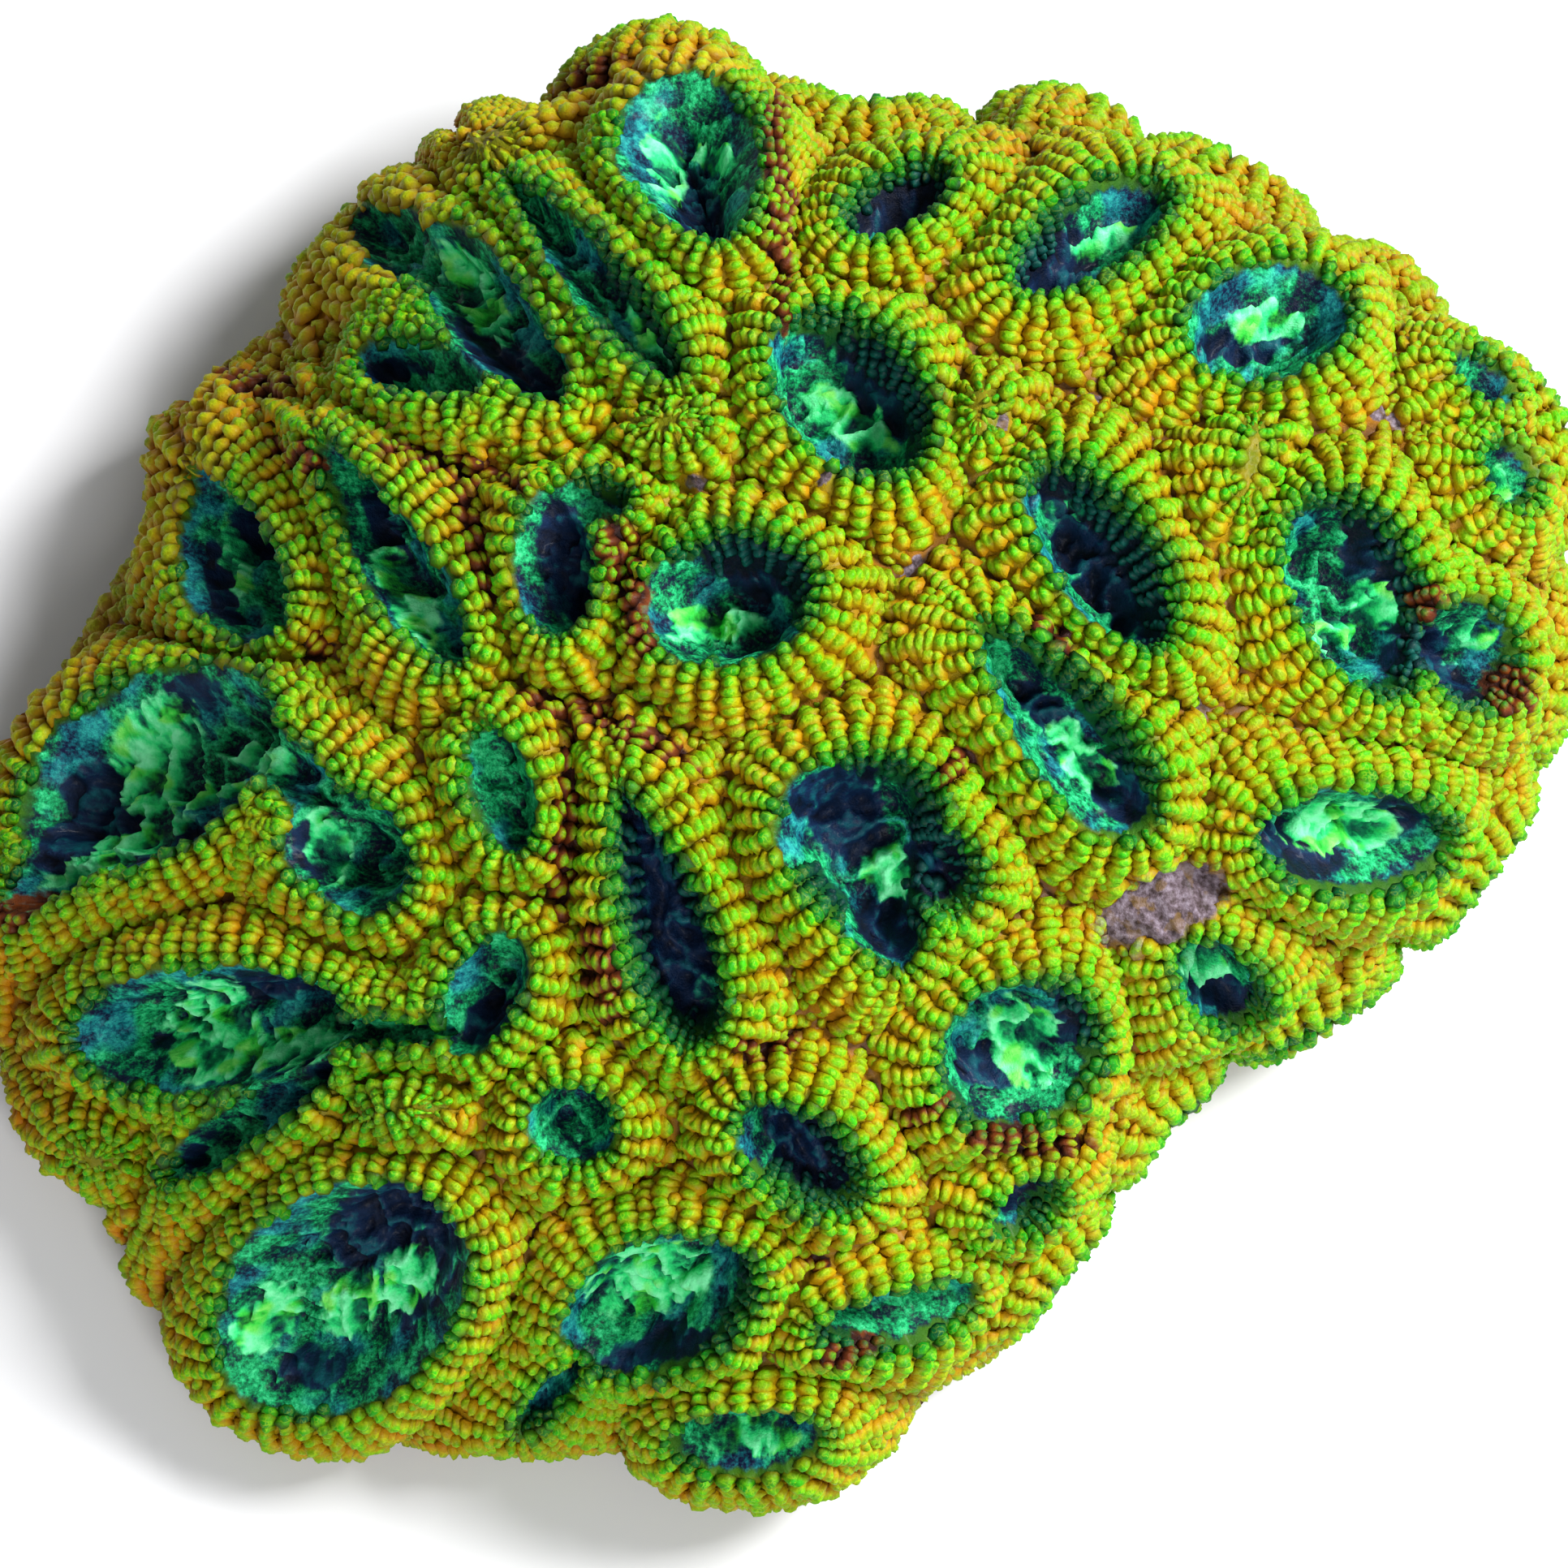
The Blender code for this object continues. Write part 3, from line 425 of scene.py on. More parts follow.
class Dome:
    """The colony's smooth body, charted by bearing and by distance along the surface."""

    def __init__(self):
        bearing = np.arange(COLUMNS) * TAU / COLUMNS
        self.rim = turned(RIM_HEIGHT, bearing)
        self.radius = self.outline_radius(bearing)
        shoulder = turned(SHOULDER, bearing)
        fullness = turned(FULLNESS, bearing)
        lean = np.linspace(0.0, 0.5 * math.pi, PROFILE_STEPS)[:, None]
        top_radius = self.radius * np.sin(lean) ** (2.0 / shoulder)
        top_height = self.rim + (DOME_TOP - self.rim) * np.cos(lean) ** (2.0 / fullness)
        drop = np.linspace(0.0, 1.0, PROFILE_STEPS)[1:, None]
        undercut = turned(UNDERCUT, bearing)
        side_radius = self.radius * (1.0 - undercut * drop**1.5)
        side_height = self.rim * (1.0 - drop)
        radius = np.vstack((top_radius, side_radius))
        height = np.vstack((top_height, side_height))
        steps = np.hypot(np.diff(radius, axis=0), np.diff(height, axis=0))
        along = np.vstack((np.zeros(COLUMNS), np.cumsum(steps, axis=0)))
        self.length = along[-1]
        share = np.linspace(0.0, 1.0, ROWS)
        self.share_at_rim = along[len(lean) - 1] / self.length
        self.radii = np.empty((ROWS, COLUMNS))
        self.heights = np.empty((ROWS, COLUMNS))
        for n in range(COLUMNS):
            self.radii[:, n] = np.interp(share * self.length[n], along[:, n], radius[:, n])
            self.heights[:, n] = np.interp(share * self.length[n], along[:, n], height[:, n])

    def outline_radius(self, bearing):
        """Radius of the outline at each bearing, with its corners eased."""
        points = np.array(OUTLINE)
        angle = np.arctan2(points[:, 1], points[:, 0])
        for _ in range(4):
            x, y = lift(points[:, 0], points[:, 1], turned(RIM_HEIGHT, angle))
            angle = np.arctan2(y, x)
        order = np.argsort(np.mod(angle, TAU))
        radius = np.interp(bearing, np.mod(angle, TAU)[order], np.hypot(x, y)[order], period=TAU)
        reach = 3 * EASE_COLUMNS
        ease = np.exp(-0.5 * (np.arange(-reach, reach + 1) / EASE_COLUMNS) ** 2)
        padded = np.concatenate((radius[-reach:], radius, radius[:reach]))
        return np.convolve(padded, ease / ease.sum(), mode="valid")

    def column(self, table, bearing):
        """A one-row table at the bearings."""
        left, right, side = column_beside(bearing)
        return table[left] * (1.0 - side) + table[right] * side

    def at(self, chart):
        """Points of the body at chart positions."""
        bearing = np.arctan2(chart[:, 1], chart[:, 0])
        share = np.hypot(chart[:, 0], chart[:, 1]) / self.column(self.length, bearing)
        share = clamp(share)
        row = np.minimum((share * (ROWS - 1)).astype(int), ROWS - 2)
        part = share * (ROWS - 1) - row
        left, right, side = column_beside(bearing)
        found = []
        for table in (self.radii, self.heights):
            near = table[row, left] * (1 - side) + table[row, right] * side
            far = table[row + 1, left] * (1 - side) + table[row + 1, right] * side
            found.append(near * (1 - part) + far * part)
        x = found[0] * np.cos(bearing)
        y = found[0] * np.sin(bearing)
        calm = clamp(found[1] / SWELL_FROM)
        return np.column_stack((x, y, found[1] + calm * swell(x, y)))

    def normal(self, chart):
        """Outward directions at chart positions."""
        step = 0.15
        east = self.at(chart + (step, 0.0)) - self.at(chart - (step, 0.0))
        north = self.at(chart + (0.0, step)) - self.at(chart - (0.0, step))
        return unit(np.cross(east, north))

    def to_foot(self, chart):
        """Distance along the surface from chart positions to the cut."""
        bearing = np.arctan2(chart[:, 1], chart[:, 0])
        return self.column(self.length, bearing) - np.hypot(chart[:, 0], chart[:, 1])

    def chart_of_plan(self, x, y):
        """Chart position over a plan position."""
        bearing = math.atan2(y, x)
        n = int(round(bearing / TAU * COLUMNS)) % COLUMNS
        top = int(self.share_at_rim[n] * (ROWS - 1))
        radius = min(math.hypot(x, y), self.radii[top, n])
        share = np.interp(radius, self.radii[: top + 1, n], np.linspace(0, 1, ROWS)[: top + 1])
        return np.array(from_middle(share * self.length[n], bearing))

    def chart_of_layout(self, across, up):
        """Chart position under a layout point."""
        height = DOME_TOP
        for _ in range(40):
            x, y = lift(across, up, height)
            chart = self.chart_of_plan(x, y)
            height += 0.5 * (self.at(chart[None])[0, 2] - height)
        return chart

    def chart_of_flank(self, bearing, height):
        """Chart position on the flank, at a height above the cut."""
        bearing = math.radians(bearing)
        n = int(round(bearing / TAU * COLUMNS)) % COLUMNS
        low_first = self.heights[::-1, n]
        share = np.interp(height, low_first, np.linspace(1.0, 0.0, ROWS))
        return np.array(from_middle(share * self.length[n], bearing))


class Cup:
    """One cup or mound: where it lies, its oval and how deep it is."""

    def __init__(self, dome, row, place):
        self.group, first, second, length, width, turn, self.taper = row
        self.chart = dome.chart_of_flank(first, second) if place == "flank" else (
            dome.chart_of_layout(first, second)
        )
        self.centre = dome.at(self.chart[None])[0]
        self.out = dome.normal(self.chart[None])[0]
        turn = math.radians(turn)
        oval = np.array((
            (length * math.cos(turn), -width * math.sin(turn)),
            (length * math.sin(turn), width * math.cos(turn)),
        ))
        across, up, _ = sight_axes()
        if place == "flank":
            across = np.cross((0.0, 0.0, 1.0), self.out)
        self.east = across - across.dot(self.out) * self.out
        self.east /= np.linalg.norm(self.east)
        self.north = np.cross(self.out, self.east)
        if place != "flank":
            oval = np.linalg.solve(self.seen(across, up), oval)
        self.oval = oval
        self.from_oval = np.linalg.inv(oval)
        self.half_length = np.linalg.norm(oval[:, 0])
        self.half_width = np.linalg.norm(oval[:, 1])
        width = min(self.half_length, self.half_width)
        least, most = CUP_DEPTH
        self.depth = min(max(DEPTH_PER_WIDTH * width, least), most)
        self.inner = min(INNER_SLOPE, INNER_SHARE * width)
        if place == "mound":
            self.depth = -MOUND_RISE

    def seen(self, across, up):
        """How the surface's own axes look on the layout, never flatter than LEAST_FACING."""
        view = np.array((
            (self.east.dot(across), self.north.dot(across)),
            (self.east.dot(up), self.north.dot(up)),
        ))
        left, size, right = np.linalg.svd(view)
        return left @ np.diag(np.maximum(size, LEAST_FACING)) @ right

    def local(self, points):
        """Positions beside the centre, on the surface's own axes."""
        away = points - self.centre
        flat = np.column_stack((away @ self.east, away @ self.north))
        size = np.linalg.norm(flat, axis=1)
        stretch = np.linalg.norm(away, axis=1) / np.maximum(size, 1e-6)
        return flat * np.where(size > 1e-6, stretch, 1.0)[:, None]

    def distance(self, points):
        """Distance outside the oval's edge, negative inside."""
        along, side = (self.local(points) @ self.from_oval.T).T
        held = np.clip(along, -TAPER_HOLD, TAPER_HOLD)
        widen = 1.0 + self.taper * held
        side = side / widen
        size = np.maximum(np.hypot(along, side), 1e-3)
        free = np.abs(along) < TAPER_HOLD
        narrowing = np.where(free, side * self.taper / widen, 0.0)
        slope = np.column_stack((along - side * narrowing, side / widen)) / size[:, None]
        steepness = np.linalg.norm(slope @ self.from_oval, axis=1)
        return (size - 1.0) / np.maximum(steepness, 1e-6)

    def edge(self, angles, inward=0.0):
        """Points of the oval's edge on the surface's own axes, or of an oval inside it."""
        along = np.cos(angles) * (1.0 - inward / self.half_length)
        across = np.sin(angles) * (1.0 - inward / self.half_width)
        side = across * (1.0 + self.taper * along)
        return np.column_stack((along, side)) @ self.oval.T

    def away(self, angles):
        """Outward directions at the oval's edge, on the surface's own axes."""
        step = 0.01
        run = self.edge(angles + step) - self.edge(angles - step)
        turned_right = np.column_stack((run[:, 1], -run[:, 0]))
        if np.linalg.det(self.oval) < 0.0:
            turned_right = -turned_right
        return unit(turned_right)

    def even_angles(self, pitch, per_ridge):
        """Angles of evenly spaced lines, some for each ridge."""
        fine = np.linspace(0.0, TAU, 241)
        ring = self.edge(fine) + PITCH_AT * self.away(fine)
        steps = np.linalg.norm(np.diff(ring, axis=0), axis=1)
        along = np.concatenate(((0.0,), np.cumsum(steps)))
        count = per_ridge * 2 * max(4, round(along[-1] / pitch / 2.0))
        return np.interp(np.arange(count) / count * along[-1], along, fine)

    def to_chart(self, dome, flat):
        """Chart positions of points given on the surface's own axes."""
        chart = self.chart + np.zeros_like(flat)
        step = 0.05
        for _ in range(7):
            here = self.local(dome.at(chart))
            east = (self.local(dome.at(chart + (step, 0.0))) - here) / step
            north = (self.local(dome.at(chart + (0.0, step))) - here) / step
            miss = flat - here
            size = east[:, 0] * north[:, 1] - east[:, 1] * north[:, 0]
            size = np.where(np.abs(size) < 0.05, 0.05, size)
            move_x = (miss[:, 0] * north[:, 1] - miss[:, 1] * north[:, 0]) / size
            move_y = (east[:, 0] * miss[:, 1] - east[:, 1] * miss[:, 0]) / size
            chart = chart + np.clip(np.column_stack((move_x, move_y)), -3.0, 3.0)
        return chart


def groups_of(cups):
    """Each cup's group as a small number."""
    names = sorted({cup.group for cup in cups})
    return np.array([names.index(cup.group) for cup in cups])


def nearest(cups, points):
    """Nearest cup, distance to its edge, and distance to the edge of another group's."""
    distances = np.full((len(points), len(cups)), FAR)
    low = points.min(axis=0)
    high = points.max(axis=0)
    for n, cup in enumerate(cups):
        gap = np.linalg.norm(cup.centre - np.clip(cup.centre, low, high))
        if gap < cup.half_length + cup.half_width + LONGEST_LINE:
            distances[:, n] = cup.distance(points)
    group = groups_of(cups)
    first = distances.argmin(axis=1)
    other = np.where(group[None, :] == group[first][:, None], np.inf, distances)
    rows = np.arange(len(points))
    return first, distances[rows, first], other.min(axis=1)


def relief(cups, first, near, far):
    """Height of the coral over the smooth dome, without its ridges."""
    wall = np.clip(0.5 * (near + far), NARROWEST_WALL, WALL_REACH)
    crest = CREST * np.minimum(1.0, wall / FULL_WALL) ** 0.5
    across = clamp(near / wall)
    outside = GROOVE + (crest - GROOVE) * (1.0 - across**WALL_CURVE)
    depth = np.array([cup.depth for cup in cups])[first]
    inner = np.array([cup.inner for cup in cups])[first]
    down = clamp(-near / inner)
    inside = crest - depth * down**1.5 * (2.5 - 1.5 * down)
    return np.where(near > 0.0, outside, inside)


def noise_at(points, size, seed):
    """Smooth noise from -1 to 1 at points, with features of about a size."""
    shift = Vector((seed * 17.3, seed * 5.1, seed * 9.7))
    return np.array([noise.noise(Vector(p) / size + shift) for p in points])


def layout_of(points):
    """Where points are seen on the layout: across and up."""
    across, up, eye = sight_axes()
    away = points - np.array(LAYOUT_CENTRE)
    grow = SIGHT_LENGTH / (SIGHT_LENGTH - away @ eye)
    return np.column_stack((away @ across, away @ up)) * grow[:, None]


def facing_eye(dome, charts):
    """How squarely the dome faces the eye at chart positions."""
    return dome.normal(charts) @ sight_axes()[2]


class Ground:
    """The skin without its ridges and folds, at chart positions."""

    def __init__(self, dome, cups, charts):
        self.body = dome.at(charts)
        self.out = dome.normal(charts)
        self.first, self.near, self.far = nearest(cups, self.body)
        self.rise = relief(cups, self.first, self.near, self.far) - (CREST - SKIN_CREST)
        self.points = self.body + self.rise[:, None] * self.out
        self.facing = self.out @ sight_axes()[2]
        inner = np.array([cup.inner for cup in cups])[self.first]
        down = clamp(-self.near / inner)
        self.steep = 2.6 * np.sqrt(down) * (1.0 - down)


class Lines:
    """Lines that run out of a cup and over its wall, a row of chart positions for each line."""

    def __init__(self, dome, cups, own):
        cup = cups[own]
        group = groups_of(cups)
        self.angles = cup.even_angles(TRUE_PITCH, LINES_PER_RIDGE)
        inward = math.floor(cup.inner / LINE_STEP)
        self.steps = np.arange(-inward, round(LONGEST_LINE / LINE_STEP) + 1) * LINE_STEP
        flat = np.stack([self.flat(cup, step) for step in self.steps], axis=1)
        shape = flat.shape[:2]
        charts = cup.to_chart(dome, flat.reshape(-1, 2))
        first, near, far = nearest(cups, dome.at(charts))
        near = near.reshape(shape)
        own_side = np.where(group[first] == group[own], 1.0, -1.0) * np.abs(far - near.ravel())
        own_side = own_side.reshape(shape)
        foot = dome.to_foot(charts).reshape(shape) - FOOT_CLEARANCE
        self.charts = charts.reshape(*shape, 2)
        outside = self.steps > 0.0
        lag = np.where(outside, near - NEAR_SHARE * self.steps + 0.3, FAR)
        self.room = np.minimum(np.minimum(own_side, foot), lag)
        self.room[:, outside] = np.minimum.accumulate(self.room[:, outside], axis=1)
        body = dome.at(charts).reshape(*shape, 3)
        half = LINES_PER_RIDGE // 2
        apart = np.roll(body, -half, axis=0) - np.roll(body, half, axis=0)
        self.pitch = np.linalg.norm(apart, axis=2)

    def flat(self, cup, outward):
        """Positions at a distance outside the edge of the cup, one for each line."""
        inside = cup.edge(self.angles, max(-outward, 0.0))
        return inside + max(outward, 0.0) * cup.away(self.angles)

    def at(self, table, step):
        """A table's values at a distance outside the edge of the cup, one for each line."""
        place = np.clip((step - self.steps[0]) / LINE_STEP, 0.0, len(self.steps) - 1.001)
        low = int(place)
        part = place - low
        return table[:, low] * (1.0 - part) + table[:, low + 1] * part


class Points:
    """Chart positions with the ridge wave at each, kept a least distance apart."""

    def __init__(self):
        self.charts = []
        self.waves = []
        self.cells = {}

    def add(self, chart, wave, spacing=SKIN_SPACING):
        """Takes a position if nothing lies too near."""
        x = math.floor(chart[0] / SKIN_SPACING)
        y = math.floor(chart[1] / SKIN_SPACING)
        reach = math.ceil(spacing / SKIN_SPACING)
        for near_x in range(x - reach, x + reach + 1):
            for near_y in range(y - reach, y + reach + 1):
                n = self.cells.get((near_x, near_y))
                if n is not None and math.dist(self.charts[n], chart) < spacing:
                    return
        self.cells[(x, y)] = len(self.charts)
        self.charts.append((float(chart[0]), float(chart[1])))
        self.waves.append(float(wave))

    def add_foot(self, dome):
        """The ring of positions where the skin meets the cut; returns how many."""
        count = round(dome.radii[-1].mean() * TAU / FOOT_STEP)
        for n in range(count):
            bearing = TAU * n / count
            reach = dome.column(dome.length, np.array((bearing,)))[0]
            self.add(from_middle(reach, bearing), 0.0)
        return count

    def add_lines(self, fan):
        """Rows of positions along every line of a cup."""
        turn = TAU * np.arange(len(fan.angles)) / LINES_PER_RIDGE
        outward = fan.steps[fan.steps >= 0.0]
        inward = -np.arange(SLOPE_STEP, -fan.steps[0], SLOPE_STEP)
        for step in (*outward, *inward):
            charts = fan.at(fan.charts, step)
            split = fan.at(fan.pitch, step) > SPLIT_AT * TRUE_PITCH
            wave = np.cos(turn * np.where(split, 2.0, 1.0))
            for n in np.flatnonzero(fan.at(fan.room, step) > 0.0):
                self.add(charts[n], wave[n])

    def add_grid(self, dome, cups):
        """A fine grid on the floors of the cups and a coarse one wherever nothing lies yet."""
        reach = dome.length.max()
        grids = ((FLOOR_STEP, True, True), (HIDDEN_FLOOR_STEP, True, False), (BARE_STEP, False, True))
        for step, inside, seen in grids:
            chart = even_grid(reach, step)
            chart = chart[dome.to_foot(chart) > FOOT_STEP]
            if inside:
                _, near, _ = nearest(cups, dome.at(chart))
                facing = facing_eye(dome, chart) > 0.1
                chart = chart[(near < -0.5) & (facing == seen)]
            for place in chart:
                self.add(place, 0.0, 0.7 * step)


def even_grid(reach, step):
    """Chart positions in staggered rows."""
    x, y = np.meshgrid(np.arange(-reach, reach, step), np.arange(-reach, reach, step * 0.87))
    x = x + 0.5 * step * (np.arange(len(x)) % 2)[:, None]
    return np.column_stack((x.ravel(), y.ravel()))


def patch_strength(points, facing, patches):
    """How strongly points lie in any of the patches, 0 to 1, with wandering edges."""
    seen = layout_of(points)
    wander = np.column_stack([noise_at(points, WANDER_SIZE, seed) for seed in (1, 2)])
    seen = seen + PATCH_WANDER * wander
    most = np.zeros(len(points))
    for across, up, length, width, turn in patches:
        turn = math.radians(turn)
        away = seen - (across, up)
        along = (away[:, 0] * math.cos(turn) + away[:, 1] * math.sin(turn)) / length
        side = (away[:, 1] * math.cos(turn) - away[:, 0] * math.sin(turn)) / width
        most = np.maximum(most, np.exp(-PATCH_FADE * (along**2 + side**2) ** 1.5))
    return most * clamp(4.0 * facing)


def flesh_share(points, near, facing):
    """How much of the soft flesh lies over the ridges: none on the wall, all on the floor."""
    seen = layout_of(points)
    start = np.interp(seen[:, 0], FLESH_ACROSS, FLESH_FROM)
    teal = clamp(4.0 * patch_strength(points, facing, TEAL) - 1.0)
    start = start + (TEAL_FLESH_FROM - start) * teal
    start = np.minimum(start + 0.3 * noise_at(points, 2.3, 12), -0.02)
    return clamp((start - near) / FLESH_EDGE)


def marks_at(cups, ground):
    """The values that colour the coral."""
    points, near, facing = ground.points, ground.near, ground.facing
    wall = np.clip(0.5 * (near + ground.far), NARROWEST_WALL, WALL_REACH)
    mound = np.array([cup.depth < 0.0 for cup in cups])[ground.first]
    place = np.where(mound, np.maximum(near, MOUND_PLACE), near)
    within = clamp((-0.25 - place) / 0.4)
    hidden = clamp(1.0 - 4.0 * facing)
    pale = clamp(2.5 * noise_at(points, 1.9, 8)) * hidden
    dark = clamp(2.5 * noise_at(points, 2.3, 9)) * hidden
    return {
        "place": place,
        "groove": clamp(near / wall),
        "mint": within * np.maximum(patch_strength(points, facing, MINT), pale),
        "navy": within * np.maximum(patch_strength(points, facing, NAVY), dark),
        "brown": patch_strength(points, facing, BROWN),
        "grey": patch_strength(points, facing, GREY),
        "plump": clamp(2.5 * patch_strength(points, facing, PLUMP) - 0.5),
        "flesh": flesh_share(points, place, facing),
    }


def folds_at(points):
    """Soft folds of flesh: 1 on a fold's back, 0 in the creases between."""
    warp = np.column_stack([noise_at(points, 1.7, seed) for seed in (3, 4, 5)])
    bent = points + 0.9 * warp
    return 1.0 - clamp(2.4 * np.abs(noise_at(bent, FOLD_SIZE, 6)))


def rib_height(marks):
    """How high the skin's own ridges stand: low under the beads, higher down in the cup."""
    height = np.interp(marks["place"], RIB_PLACES, RIB_HEIGHTS)
    return height * np.interp(marks["groove"], (0.75, 1.0), (1.0, 0.35)) * (1.0 - marks["flesh"])


def skin_height(ground, wave, marks):
    """Height of the skin over the smooth dome, and the folds of its flesh."""
    soft = marks["flesh"] > 0.0
    folds = np.zeros(len(wave))
    small = np.zeros(len(wave))
    folds[soft] = folds_at(ground.points[soft])
    small[soft] = 0.6 - 2.0 * np.abs(noise_at(ground.points[soft], SMALL_FOLD_SIZE, 7))
    calm = np.clip((-marks["place"] - 0.2) / 0.8, 0.15, 1.0)
    fine = SMALL_FOLD_HEIGHT * small * (1.0 - STEEP_CALM * ground.steep)
    rise = FOLD_HEIGHT * (folds - 0.45) + fine + MINT_RISE * marks["mint"]
    folds = clamp(0.75 * folds + 0.35 * small)
    return ground.rise + rib_height(marks) * wave + marks["flesh"] * calm * rise, folds


def make_mesh(name, places, faces, marks):
    """A smooth mesh object in the frame's own place, with a value at each point for each mark."""
    mesh = bpy.data.meshes.new(name)
    shifted = (places - (BOX_MIDDLE[0], BOX_MIDDLE[1], 0.0)) * MM
    faces = np.asarray(faces, dtype=np.int32)
    mesh.vertices.add(len(shifted))
    mesh.vertices.foreach_set("co", shifted.astype(np.float32).ravel())
    mesh.loops.add(faces.size)
    mesh.loops.foreach_set("vertex_index", faces.ravel())
    mesh.polygons.add(len(faces))
    mesh.polygons.foreach_set("loop_start", np.arange(len(faces), dtype=np.int32) * 3)
    mesh.update(calc_edges=True)
    mesh.shade_smooth()
    for key, values in marks.items():
        layer = mesh.attributes.new(key, "FLOAT", "POINT")
        layer.data.foreach_set("value", np.asarray(values, dtype=np.float32))
    piece = bpy.data.objects.new(name, mesh)
    bpy.context.scene.collection.objects.link(piece)
    return piece


def triangles_between(places, edges):
    """Triangles over flat places that keep a ring of edges, and fill only inside it."""
    _, _, faces, origin, _, _ = delaunay_2d_cdt([Vector(p) for p in places], edges, [], 1, 1e-6)
    number = np.array([kept[0] for kept in origin])
    return number[np.array(faces)]


def make_skin(dome, cups, lines):
    """The closed body: ridged walls, folded floors and the flat cut."""
    points = Points()
    foot = points.add_foot(dome)
    for fan in lines:
        points.add_lines(fan)
    points.add_grid(dome, cups)
    charts = np.array(points.charts)
    ground = Ground(dome, cups, charts)
    marks = marks_at(cups, ground)
    height, marks["fold"] = skin_height(ground, np.array(points.waves), marks)
    ring = np.arange(len(charts)) < foot
    level = unit(ground.out * (1.0, 1.0, 0.0))
    out = np.where(ring[:, None], level, ground.out)
    height = np.where(ring, np.maximum(height, 0.0), height)
    placed = ground.body + height[:, None] * out
    placed[:, 2] = np.where(ring, 0.0, np.maximum(placed[:, 2], 0.5 * LOWEST_SKIN))
    edges = [(n, (n + 1) % foot) for n in range(foot)]
    top = triangles_between(charts, edges)
    under = triangles_between(placed[:foot, :2], edges)[:, ::-1]
    return make_mesh("coral_skin", placed, np.vstack((top, under)), marks)


def bead_form():
    """One bead, a closed knob on a wide low skirt: its points and triangles."""
    places = [(0.0, 0.0, 1.0)]
    for radius, height in BEAD_RINGS:
        for n in range(BEAD_SIDES):
            turn = TAU * n / BEAD_SIDES
            places.append((radius * math.cos(turn), radius * math.sin(turn), height))
    places.append((0.0, 0.0, -0.9))
    faces = []
    last = 1 + (len(BEAD_RINGS) - 1) * BEAD_SIDES
    for n in range(BEAD_SIDES):
        right = (n + 1) % BEAD_SIDES
        faces.append((0, 1 + n, 1 + right))
        for low in range(1, last, BEAD_SIDES):
            high = low + BEAD_SIDES
            faces.append((low + n, high + n, high + right))
            faces.append((low + n, high + right, low + right))
        faces.append((last + n, len(places) - 1, last + right))
    return np.array(places), np.array(faces)


